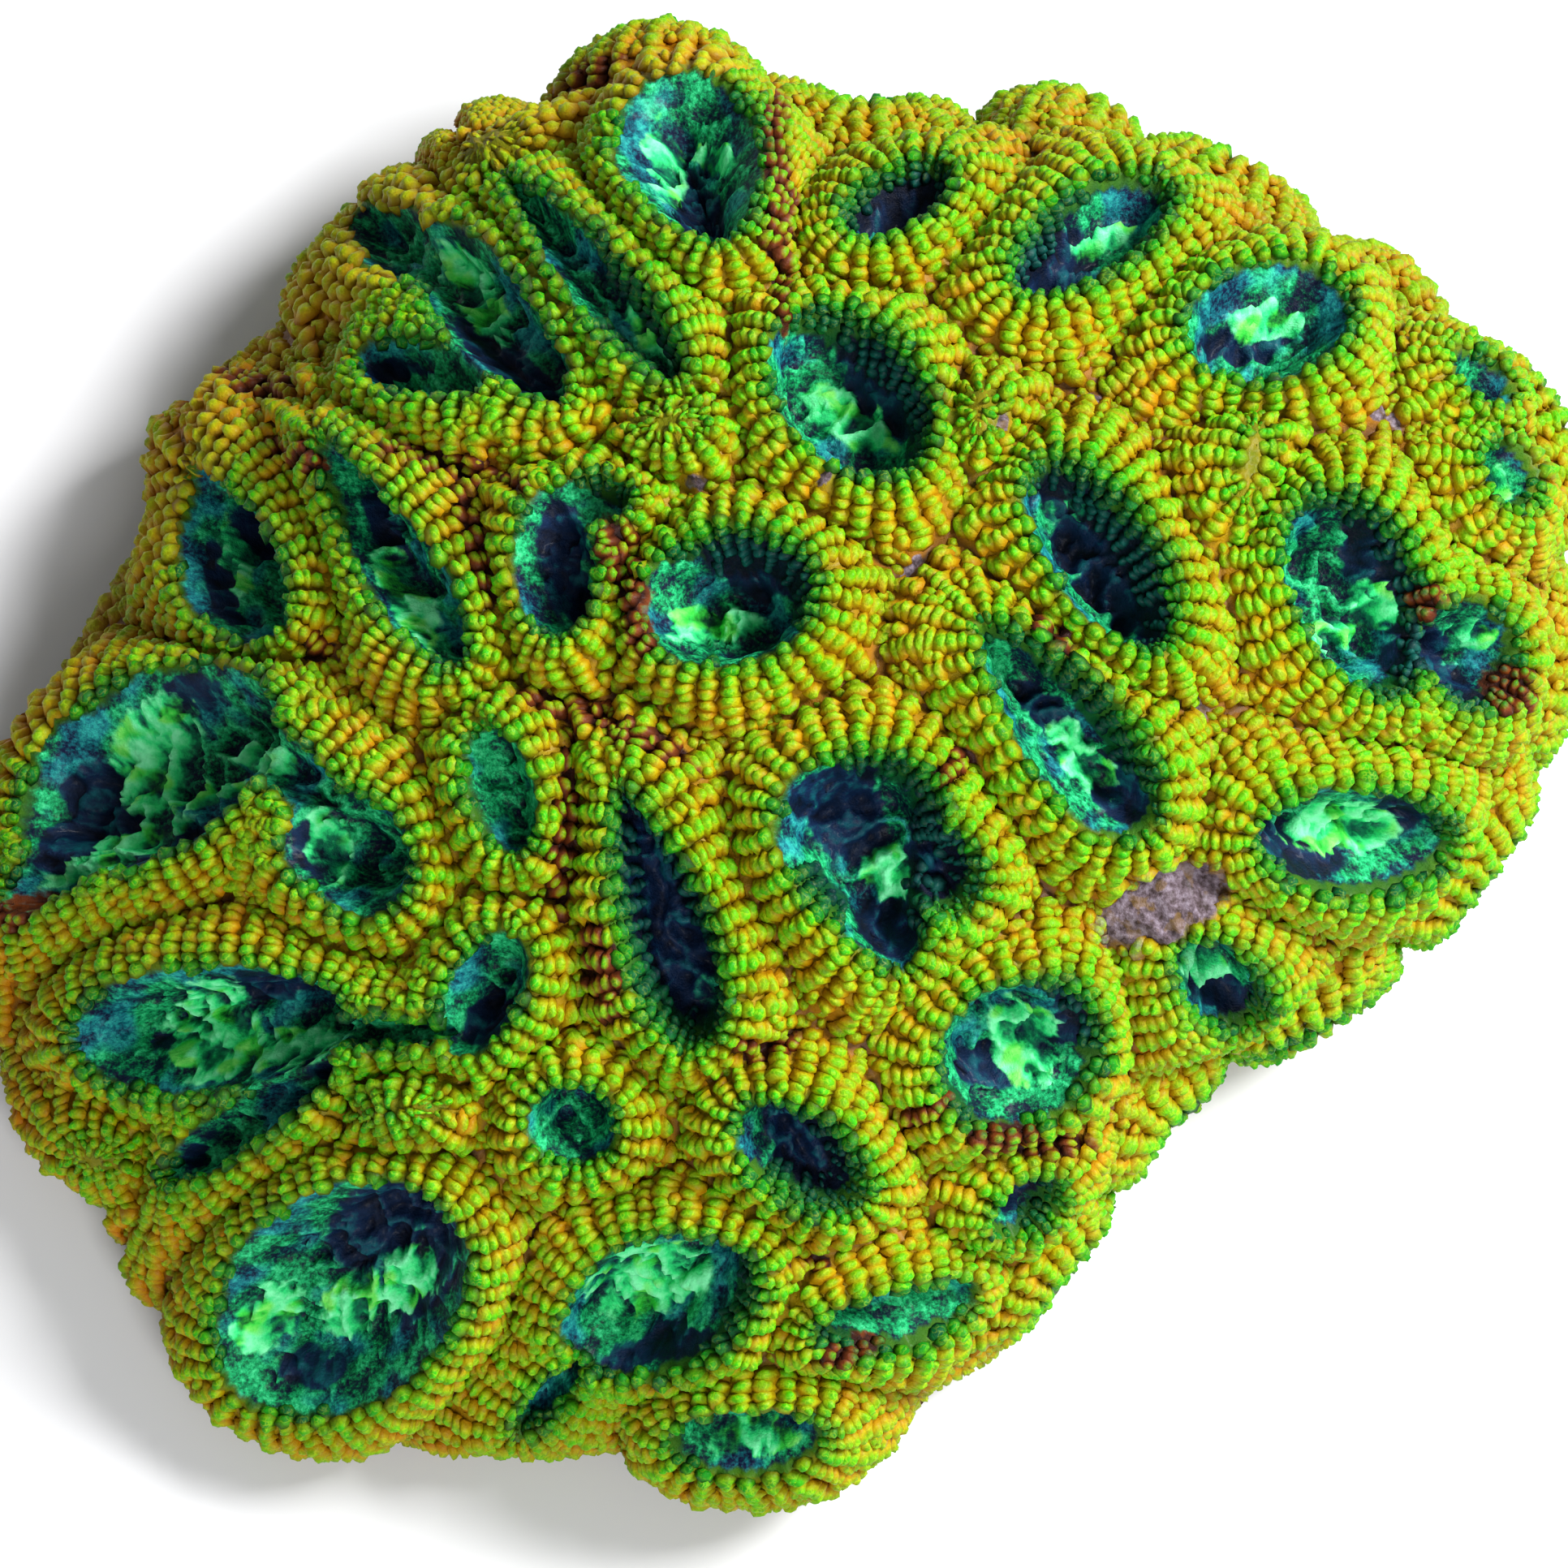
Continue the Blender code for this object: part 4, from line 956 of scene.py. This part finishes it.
class Beads:
    """Every bead: where it sits, its axes, its half sizes and its place on the chart."""

    def __init__(self, dome, cups, lines):
        self.chance = random.Random(SEED)
        self.dome = dome
        self.cups = cups
        self.centres = []
        self.axes = []
        self.sizes = []
        self.charts = []
        self.lows = []
        for fan in lines:
            self.add_rows(fan)
        self.fill()

    def surface(self, charts):
        """Places and outward directions of the skin's ridge tops at chart positions."""
        ground = Ground(self.dome, self.cups, charts)
        marks = marks_at(self.cups, ground)
        height, _ = skin_height(ground, np.ones(len(charts)), marks)
        return ground.body + height[:, None] * ground.out, ground.out, marks

    def add_rows(self, fan):
        """A row of beads along each ridge of one cup, with more ridges where they spread."""
        shape = fan.charts.shape[:2]
        placed, out, marks = self.surface(fan.charts.reshape(-1, 2))
        placed = placed.reshape(*shape, 3)
        out = out.reshape(*shape, 3)
        plump = marks["plump"].reshape(shape)
        legal = self.legal(fan, marks)
        spread = fan.pitch / TRUE_PITCH
        split = 1 + (spread > SPLIT_AT) + 2 * (spread > 2.0 * SPLIT_AT)
        for n in range(shape[0]):
            rank = RANKS[n % LINES_PER_RIDGE]
            minor = rank > 1 or n % (2 * LINES_PER_RIDGE) > 0
            crowded = minor & (fan.pitch[n] < CROWDED_AT * TRUE_PITCH) & (fan.steps < MINOR_ENDS_AT)
            is_open = legal[n] & (split[n] >= rank) & ~crowded
            for low, part in self.slots(placed[n], plump[n], is_open, fan.steps):
                here = placed[n, low] * (1 - part) + placed[n, low + 1] * part
                chart = fan.charts[n, low] * (1 - part) + fan.charts[n, low + 1] * part
                pitch = fan.pitch[n, low] / split[n, low]
                step = fan.steps[low] + part * LINE_STEP
                size = self.row_size(step, pitch, minor, plump[n, low])
                here = here - MINOR_DROP * minor * out[n, low]
                run = placed[n, low + 1] - placed[n, low]
                self.add(here, out[n, low], run, size, chart, float(minor))

    def legal(self, fan, marks):
        """Where the lines of a cup may carry beads."""
        shape = fan.charts.shape[:2]
        soft = marks["flesh"].reshape(shape) > 0.5
        bare = marks["grey"].reshape(shape) > BARE_FROM
        foot = self.dome.to_foot(fan.charts.reshape(-1, 2)).reshape(shape)
        legal = (fan.room > SEAM_HALF_WIDTH) & ~soft & ~bare & (foot > BEAD_CLEARANCE)
        return legal & (fan.steps > BEADS_END_AT)

    def slots(self, placed, plump, is_open, steps):
        """Places of the beads along one line: the step before each, and how far past it."""
        spacing = np.interp(steps, BEAD_PLACES, BEAD_SPACING)
        between = 0.5 * (spacing[1:] + spacing[:-1])
        run = np.linalg.norm(np.diff(placed, axis=0), axis=1)
        apart = between * (1.0 + PLUMP_APART * plump[1:])
        count = np.concatenate(((0.0,), np.cumsum(run / apart)))
        slot = self.chance.uniform(*FIRST_SLOT)
        while slot < count[-1]:
            at = np.interp(slot, count, np.arange(len(steps)))
            low = min(int(at), len(steps) - 2)
            if is_open[low] and is_open[low + 1]:
                yield low, at - low
            slot += self.chance.uniform(*NEXT_SLOT)

    def row_size(self, step, pitch, minor, plump):
        """Half length, half width and height of a bead in a row."""
        half_width = np.interp(step, BEAD_PLACES, BEAD_HALF_WIDTH)
        half_width *= MINOR_WIDTH if minor else MAJOR_WIDTH
        half_width = max(min(half_width, BEAD_SHARE_OF_PITCH * pitch), LEAST_HALF_WIDTH)
        half_length = np.interp(step, BEAD_PLACES, BEAD_SPACING) * BEAD_LENGTH_SHARE
        half_length *= 1.0 + PLUMP_LENGTH * plump
        height = min(half_width, half_length) * BEAD_HEIGHT_SHARE * (1.0 - PLUMP_FLAT * plump)
        return half_length, half_width, height

    def add(self, here, out, run, size, chart, low):
        """One bead, a little off its place, size and slope."""
        chance = self.chance
        swing = chance.gauss(0.0, BEAD_SWING)
        run = run / np.linalg.norm(run)
        run = run * math.cos(swing) + np.cross(out, run) * math.sin(swing)
        side = np.cross(out, run)
        side /= np.linalg.norm(side)
        tilt = chance.gauss(0.0, BEAD_TILT)
        lean = np.cross(run, side)
        run = run * math.cos(tilt) + lean * math.sin(tilt)
        normal = np.cross(run, side)
        size = [half * chance.uniform(*BEAD_SIZES) for half in size]
        aside = side * chance.gauss(0.0, BEAD_WANDER)
        self.centres.append(here + aside + normal * (BEAD_RISE * size[2] - BEAD_SINK))
        self.axes.append((run, side, normal))
        self.sizes.append(size)
        self.charts.append(chart)
        self.lows.append(low)

    def fill(self):
        """Beads wherever the rows have left the walls bare."""
        tree = KDTree(len(self.centres))
        for n, centre in enumerate(self.centres):
            tree.insert(centre, n)
        tree.balance()
        charts = even_grid(self.dome.length.max(), FILL_STEP)
        charts = charts[self.dome.to_foot(charts) > BEAD_CLEARANCE]
        shake = [[self.chance.uniform(-FILL_SHAKE, FILL_SHAKE) for _ in "xy"] for _ in charts]
        charts += np.array(shake)
        _, near, far = nearest(self.cups, self.dome.at(charts))
        charts = charts[(near > -0.05) & (far - near > 2.0 * FILL_FROM_SEAM)]
        placed, out, marks = self.surface(charts)
        keep = marks["grey"] < BARE_FROM
        placed, out, charts = placed[keep], out[keep], charts[keep]
        least = FILL_GAP * (1.0 + PLUMP_GAP * marks["plump"][keep])
        for place, way, chart, room in zip(placed, out, charts, least):
            _, _, gap = tree.find(place)
            if gap < room:
                continue
            turn = self.chance.uniform(0.0, TAU)
            run = Vector(way).orthogonal().normalized()
            run = np.array(Matrix.Rotation(turn, 3, Vector(way)) @ run)
            self.add(place, way, run, FILL_SIZE, chart, FILL_LOW)

    def pieces(self):
        """The beads as a few joined meshes, each a stretch of the colony."""
        centres, axes, sizes, charts = map(np.array, (self.centres, self.axes, self.sizes, self.charts))
        marks = marks_at(self.cups, Ground(self.dome, self.cups, charts))
        form, form_faces = bead_form()
        dice = np.random.default_rng(SEED)
        marks["tint"] = dice.random(len(centres))
        marks["low"] = np.array(self.lows)
        marks["mint"] = np.zeros(len(centres))
        order = np.argsort(np.arctan2(charts[:, 1], charts[:, 0]), kind="stable")
        found = []
        for number, chosen in enumerate(np.array_split(order, PIECES)):
            lumps = 1.0 + dice.uniform(-BEAD_LUMPS, BEAD_LUMPS, (len(chosen), len(form)))
            own = form[None] * sizes[chosen][:, None, :] * lumps[:, :, None]
            places = centres[chosen][:, None, :] + np.einsum("bpi,bij->bpj", own, axes[chosen])
            faces = form_faces[None] + len(form) * np.arange(len(chosen))[:, None, None]
            values = {key: np.repeat(mark[chosen], len(form)) for key, mark in marks.items()}
            values["crown"] = np.tile(clamp(form[:, 2]), len(chosen))
            name = f"coral_beads_{number + 1}"
            found.append(make_mesh(name, places.reshape(-1, 3), faces.reshape(-1, 3), values))
        return found


def linear(red, green, blue):
    """A colour given as it looks on a screen, 0 to 255, as light."""
    parts = [c / 255.0 for c in (red, green, blue)]
    light = [c / 12.92 if c < 0.04045 else ((c + 0.055) / 1.055) ** 2.4 for c in parts]
    return (*light, 1.0)


class Nodes:
    """Short ways to add and link a material's nodes."""

    def __init__(self, name):
        self.material = bpy.data.materials.new(name)
        self.material.use_nodes = True
        self.tree = self.material.node_tree
        self.shader = self.tree.nodes["Principled BSDF"]

    def add(self, kind, **inputs):
        """A node with its inputs set or linked by name."""
        node = self.tree.nodes.new(kind)
        for key, value in inputs.items():
            self.put(node.inputs[key.replace("_", " ")], value)
        return node

    def put(self, socket, value):
        """Links an output to a socket, or sets the socket's value."""
        if isinstance(value, bpy.types.NodeSocket):
            self.tree.links.new(value, socket)
        else:
            socket.default_value = value

    def mark(self, name):
        """A value kept at each point of the mesh."""
        node = self.tree.nodes.new("ShaderNodeAttribute")
        node.attribute_name = name
        return node.outputs["Fac"]

    def math(self, operation, first, second=0.0):
        """One sum."""
        node = self.tree.nodes.new("ShaderNodeMath")
        node.operation = operation
        self.put(node.inputs[0], first)
        self.put(node.inputs[1], second)
        return node.outputs[0]

    def times(self, first, second):
        """One value times another."""
        return self.math("MULTIPLY", first, second)

    def plus(self, first, second):
        """One value and another together."""
        return self.math("ADD", first, second)

    def swing(self, value, size):
        """A value of 0 to 1 brought to either side of zero."""
        return self.times(self.math("SUBTRACT", value, 0.5), size)

    def ramp(self, value, stops):
        """Colours along a value from 0 to 1."""
        node = self.add("ShaderNodeValToRGB", Fac=value)
        band = node.color_ramp
        while len(band.elements) < len(stops):
            band.elements.new(0.5)
        for element, (place, colour) in zip(band.elements, stops):
            element.position = place
            element.color = colour
        return node.outputs["Color"]

    def colours(self, value, rows, low=0.0, high=1.0):
        """Screen colours along a value: rows of place, red, green and blue."""
        stops = [((place - low) / (high - low), linear(*colour)) for place, *colour in rows]
        return self.ramp(value, stops)

    def by_place(self, place, rows):
        """Screen colours by distance outside the edge of the cup."""
        return self.colours(place, rows, PLACE_FROM, PLACE_TO)

    def spread(self, value, low, high):
        """A value brought from its own range to 0 to 1."""
        node = self.add("ShaderNodeMapRange", Value=value)
        node.inputs["From Min"].default_value = low
        node.inputs["From Max"].default_value = high
        return node.outputs["Result"]

    def noise(self, size, detail=2.0, roughness=0.5):
        """Noise with features of a size in millimetres, in the object's own space."""
        where = self.tree.nodes.new("ShaderNodeTexCoord")
        node = self.tree.nodes.new("ShaderNodeTexNoise")
        self.tree.links.new(where.outputs["Object"], node.inputs["Vector"])
        node.inputs["Scale"].default_value = 1.0 / (size * MM)
        node.inputs["Detail"].default_value = detail
        node.inputs["Roughness"].default_value = roughness
        return node.outputs["Fac"]

    def east(self):
        """How far right a place is on the colony, 0 to 1."""
        where = self.tree.nodes.new("ShaderNodeTexCoord")
        parts = self.tree.nodes.new("ShaderNodeSeparateXYZ")
        self.tree.links.new(where.outputs["Object"], parts.inputs[0])
        return self.spread(parts.outputs["X"], -TINT_REACH * MM, TINT_REACH * MM)

    def mix(self, share, first, second, blend="MIX"):
        """Two colours mixed by a share."""
        node = self.tree.nodes.new("ShaderNodeMix")
        node.data_type = "RGBA"
        node.blend_type = blend
        self.put(node.inputs[0], share)
        self.put(node.inputs[6], first)
        self.put(node.inputs[7], second)
        return node.outputs[2]

    def bump(self, height, strength, distance):
        """Fine relief, its distance in millimetres."""
        node = self.add("ShaderNodeBump", Height=height)
        node.inputs["Strength"].default_value = strength
        node.inputs["Distance"].default_value = distance * MM
        self.tree.links.new(node.outputs["Normal"], self.shader.inputs["Normal"])

    def damp(self, colour, grain, roughness, gloss):
        """A damp surface: colour, size and range of its roughness, and its constant gloss."""
        self.put(self.shader.inputs["Base Color"], colour)
        smooth, dull = ((rough, rough, rough, 1.0) for rough in roughness)
        rough = self.ramp(self.noise(grain), ((0.3, smooth), (0.7, dull)))
        self.put(self.shader.inputs["Roughness"], rough)
        for name, value in zip(GLOSS, gloss):
            self.shader.inputs[name].default_value = value


def shared_marks(nodes, base, folds, navy_rows):
    """Pale, dark, brown and grey patches over a base colour, with painted light on the backs of folds
    and tops of beads and painted shade in the creases and at the beads' feet.
    """
    rough = nodes.noise(0.5, 3.0, 0.6)
    shade = nodes.spread(nodes.plus(nodes.times(rough, 0.45), nodes.times(folds, 0.55)), 0.2, 0.75)
    leafy_share = nodes.times(nodes.spread(nodes.noise(1.5, 1.0), 0.53, 0.62), 0.75)
    mint = nodes.mix(leafy_share, nodes.colours(shade, MINT_ROWS), nodes.colours(shade, LEAFY_ROWS))
    navy = nodes.colours(shade, navy_rows)
    brown = nodes.colours(shade, BROWN_ROWS)
    grey = nodes.colours(nodes.noise(0.35, 3.0, 0.6), GREY_ROWS)
    colour = base
    patches = (
        ("navy", navy, -1.3, 0.28), ("mint", mint, 1.3, 0.38), ("brown", brown, -0.1, 0.3),
        ("grey", grey, 0.0, 0.38),
    )
    # Navy leans into the creases as painted shade, and mint onto the backs of folds and tops of beads
    # as painted light; both are also the flesh's own colours, set by their patches
    for name, patch, lean, start in patches:
        mark = nodes.mark(name)
        strength = nodes.plus(mark, nodes.times(rough, 0.35))
        strength = nodes.plus(strength, nodes.times(nodes.swing(folds, lean), mark))
        share = nodes.spread(strength, start, start + PATCH_EDGE)
        if name == "brown":
            share = nodes.times(share, nodes.spread(folds, 1.05, 0.5))
        colour = nodes.mix(share, colour, patch)
    return colour


def bead_material():
    """Damp beads: green down in the cups, lime on the rims, golden olive over the walls."""
    nodes = Nodes("coral_beads")
    crown = nodes.mark("crown")
    outside = nodes.mark("place")
    wander = nodes.plus(nodes.swing(nodes.noise(1.6), 1.1), nodes.swing(nodes.mark("tint"), 0.45))
    place = nodes.spread(nodes.plus(outside, wander), PLACE_FROM, PLACE_TO)
    top, ring, base = (nodes.by_place(place, rows) for rows in (TOP_ROWS, RING_ROWS, BASE_ROWS))
    colour = nodes.mix(nodes.spread(crown, 0.05, 0.42), base, ring)
    colour = nodes.mix(nodes.spread(crown, 0.46, 0.8), colour, top)

    fleck = nodes.spread(nodes.noise(0.2, 3.0, 0.65), 0.34, 0.66)
    shaded = nodes.mix(0.4, colour, nodes.mix(1.0, colour, base, "MULTIPLY"))
    colour = nodes.mix(fleck, shaded, colour)

    warm = nodes.spread(nodes.noise(2.6, 2.0), 0.44, 0.66)
    warm = nodes.times(warm, nodes.spread(outside, -0.2, 1.2))
    low = nodes.times(nodes.mark("low"), nodes.spread(outside, -0.1, 0.9))
    warm = nodes.plus(nodes.times(warm, 0.35), nodes.times(low, 0.35))
    warm = nodes.times(warm, nodes.spread(crown, 1.5, 0.3))
    colour = nodes.mix(warm, colour, linear(*ORANGE))

    swollen = nodes.colours(crown, SWOLLEN_ROWS)
    colour = nodes.mix(nodes.times(nodes.mark("plump"), 0.6), colour, swollen)

    seam = nodes.spread(nodes.mark("groove"), 0.84, 1.0)
    seam = nodes.times(seam, nodes.spread(crown, 1.5, 0.2))
    colour = nodes.mix(nodes.times(seam, 0.6), colour, linear(*SEAM))

    # Painted highlight: faint thin pale lines on the beads' upper flanks, out on the walls, stand in
    # for glints of light along their edges
    painted_glint = nodes.math("ABSOLUTE", nodes.math("SUBTRACT", nodes.noise(0.3, 1.0), 0.5))
    painted_glint = nodes.times(nodes.spread(painted_glint, 0.06, 0.01), nodes.spread(crown, 0.2, 0.6))
    painted_glint = nodes.times(painted_glint, nodes.spread(outside, -0.8, 0.2))
    colour = nodes.mix(nodes.times(painted_glint, 0.2), colour, linear(*GLINT_LINE_COLOUR))

    colour = nodes.mix(1.0, colour, nodes.ramp(nodes.east(), TINT_FROM_LEFT), "MULTIPLY")
    colour = shared_marks(nodes, colour, crown, BEAD_NAVY_ROWS)
    nodes.damp(colour, 0.4, (0.44, 0.66), (0.13, 0.03, 0.2))
    nodes.bump(nodes.noise(0.16, 3.0, 0.6), 0.8, 0.07)
    return nodes.material


def skin_material():
    """Skin between the beads, and the soft flesh of the cups."""
    nodes = Nodes("coral_flesh")
    fold = nodes.mark("fold")
    place = nodes.plus(nodes.mark("place"), nodes.swing(nodes.noise(0.9), 1.0))
    skin = nodes.by_place(nodes.spread(place, PLACE_FROM, PLACE_TO), SKIN_ROWS)
    seam = nodes.times(nodes.spread(nodes.mark("groove"), 0.86, 1.0), 0.8)
    skin = nodes.mix(seam, skin, nodes.colours(nodes.noise(1.8, 1.0), SKIN_SEAM_ROWS))

    # Painted light and shade on the flesh: its teal and blue run lighter on the backs of the folds and
    # darker in their creases, mixed with a fine random grain
    grain = nodes.spread(nodes.noise(0.22, 4.0, 0.7), 0.32, 0.68)
    shade = nodes.plus(nodes.times(grain, 0.5), nodes.times(fold, 0.55))
    teal, blue = (nodes.colours(shade, rows) for rows in (TEAL_ROWS, BLUE_ROWS))
    flesh = nodes.mix(nodes.spread(nodes.noise(2.4, 1.0), 0.5, 0.62), teal, blue)
    colour = nodes.mix(nodes.spread(nodes.mark("flesh"), 0.0, 0.4), skin, flesh)
    colour = shared_marks(nodes, colour, fold, SKIN_NAVY_ROWS)

    specks = nodes.times(nodes.mark("grey"), nodes.spread(nodes.noise(0.8, 2.0), 0.54, 0.6))
    colour = nodes.mix(nodes.times(specks, 0.6), colour, linear(*SPECKS))
    nodes.damp(colour, 0.6, (0.4, 0.65), (0.14, 0.04, 0.18))
    nodes.bump(nodes.noise(0.2, 4.0, 0.7), 0.9, 0.12)
    return nodes.material


def add_floor():
    """Plain pale floor."""
    bpy.ops.mesh.primitive_plane_add(size=FLOOR_WIDTH, location=(0.0, 0.0, 0.0))
    floor = bpy.context.object
    floor.name = "floor"
    nodes = Nodes("floor")
    nodes.shader.inputs["Base Color"].default_value = linear(*FLOOR_COLOUR)
    nodes.shader.inputs["Roughness"].default_value = 0.9
    floor.data.materials.append(nodes.material)


def add_light(name, place, size, power):
    """A soft square light that looks at the coral."""
    lamp = bpy.data.lights.new(name, "AREA")
    lamp.size = size
    lamp.energy = power
    holder = bpy.data.objects.new(name, lamp)
    holder.location = place
    aim = Vector(LIGHTS_LOOK_AT) - Vector(place)
    holder.rotation_euler = aim.to_track_quat("-Z", "Y").to_euler()
    bpy.context.scene.collection.objects.link(holder)


def add_lights():
    """Soft studio light from the right, with a weaker one from the front."""
    for light in LIGHTS:
        add_light(*light)
    world = bpy.data.worlds.new("soft_room")
    world.use_nodes = True
    sky = world.node_tree.nodes["Background"]
    sky.inputs["Color"].default_value = SKY
    sky.inputs["Strength"].default_value = SKY_STRENGTH
    bpy.context.scene.world = world


def add_camera():
    """The eye that the layout is drawn for."""
    across, up, eye = sight_axes()
    middle = np.array(LAYOUT_CENTRE) - (BOX_MIDDLE[0], BOX_MIDDLE[1], 0.0)
    camera = bpy.data.cameras.new("camera")
    camera.sensor_width = 36.0
    camera.lens = camera.sensor_width * SIGHT_LENGTH / (PIXELS_ACROSS / PIXELS_PER_MM)
    camera.clip_start = 0.01
    holder = bpy.data.objects.new("camera", camera)
    turn = Matrix(np.column_stack((across, up, eye)).tolist()).to_4x4()
    place = (middle + SIGHT_LENGTH * eye) * MM
    holder.matrix_world = Matrix.Translation(Vector(place)) @ turn
    bpy.context.scene.collection.objects.link(holder)
    bpy.context.scene.camera = holder


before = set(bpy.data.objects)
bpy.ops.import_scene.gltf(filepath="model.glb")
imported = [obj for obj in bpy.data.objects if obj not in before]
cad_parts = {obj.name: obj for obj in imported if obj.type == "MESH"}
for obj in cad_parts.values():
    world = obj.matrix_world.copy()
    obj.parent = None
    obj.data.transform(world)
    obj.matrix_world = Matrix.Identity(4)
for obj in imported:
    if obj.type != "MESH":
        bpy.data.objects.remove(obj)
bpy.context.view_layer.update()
dome = Dome()
cups = [Cup(dome, row, "layout") for row in CUPS]
cups += [Cup(dome, row, "mound") for row in MOUNDS]
cups += [Cup(dome, row, "flank") for row in FLANK_CUPS]
lines = [Lines(dome, cups, own) for own in range(len(cups))]
skin = make_skin(dome, cups, lines)
skin.data.materials.append(skin_material())
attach(skin, "root")
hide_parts("brain_coral")
beads = bead_material()
for piece in Beads(dome, cups, lines).pieces():
    piece.data.materials.append(beads)
    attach(piece, "root")
add_floor()
add_lights()
add_camera()
bpy.context.scene.view_settings.view_transform = "Standard"
bpy.context.view_layer.update()
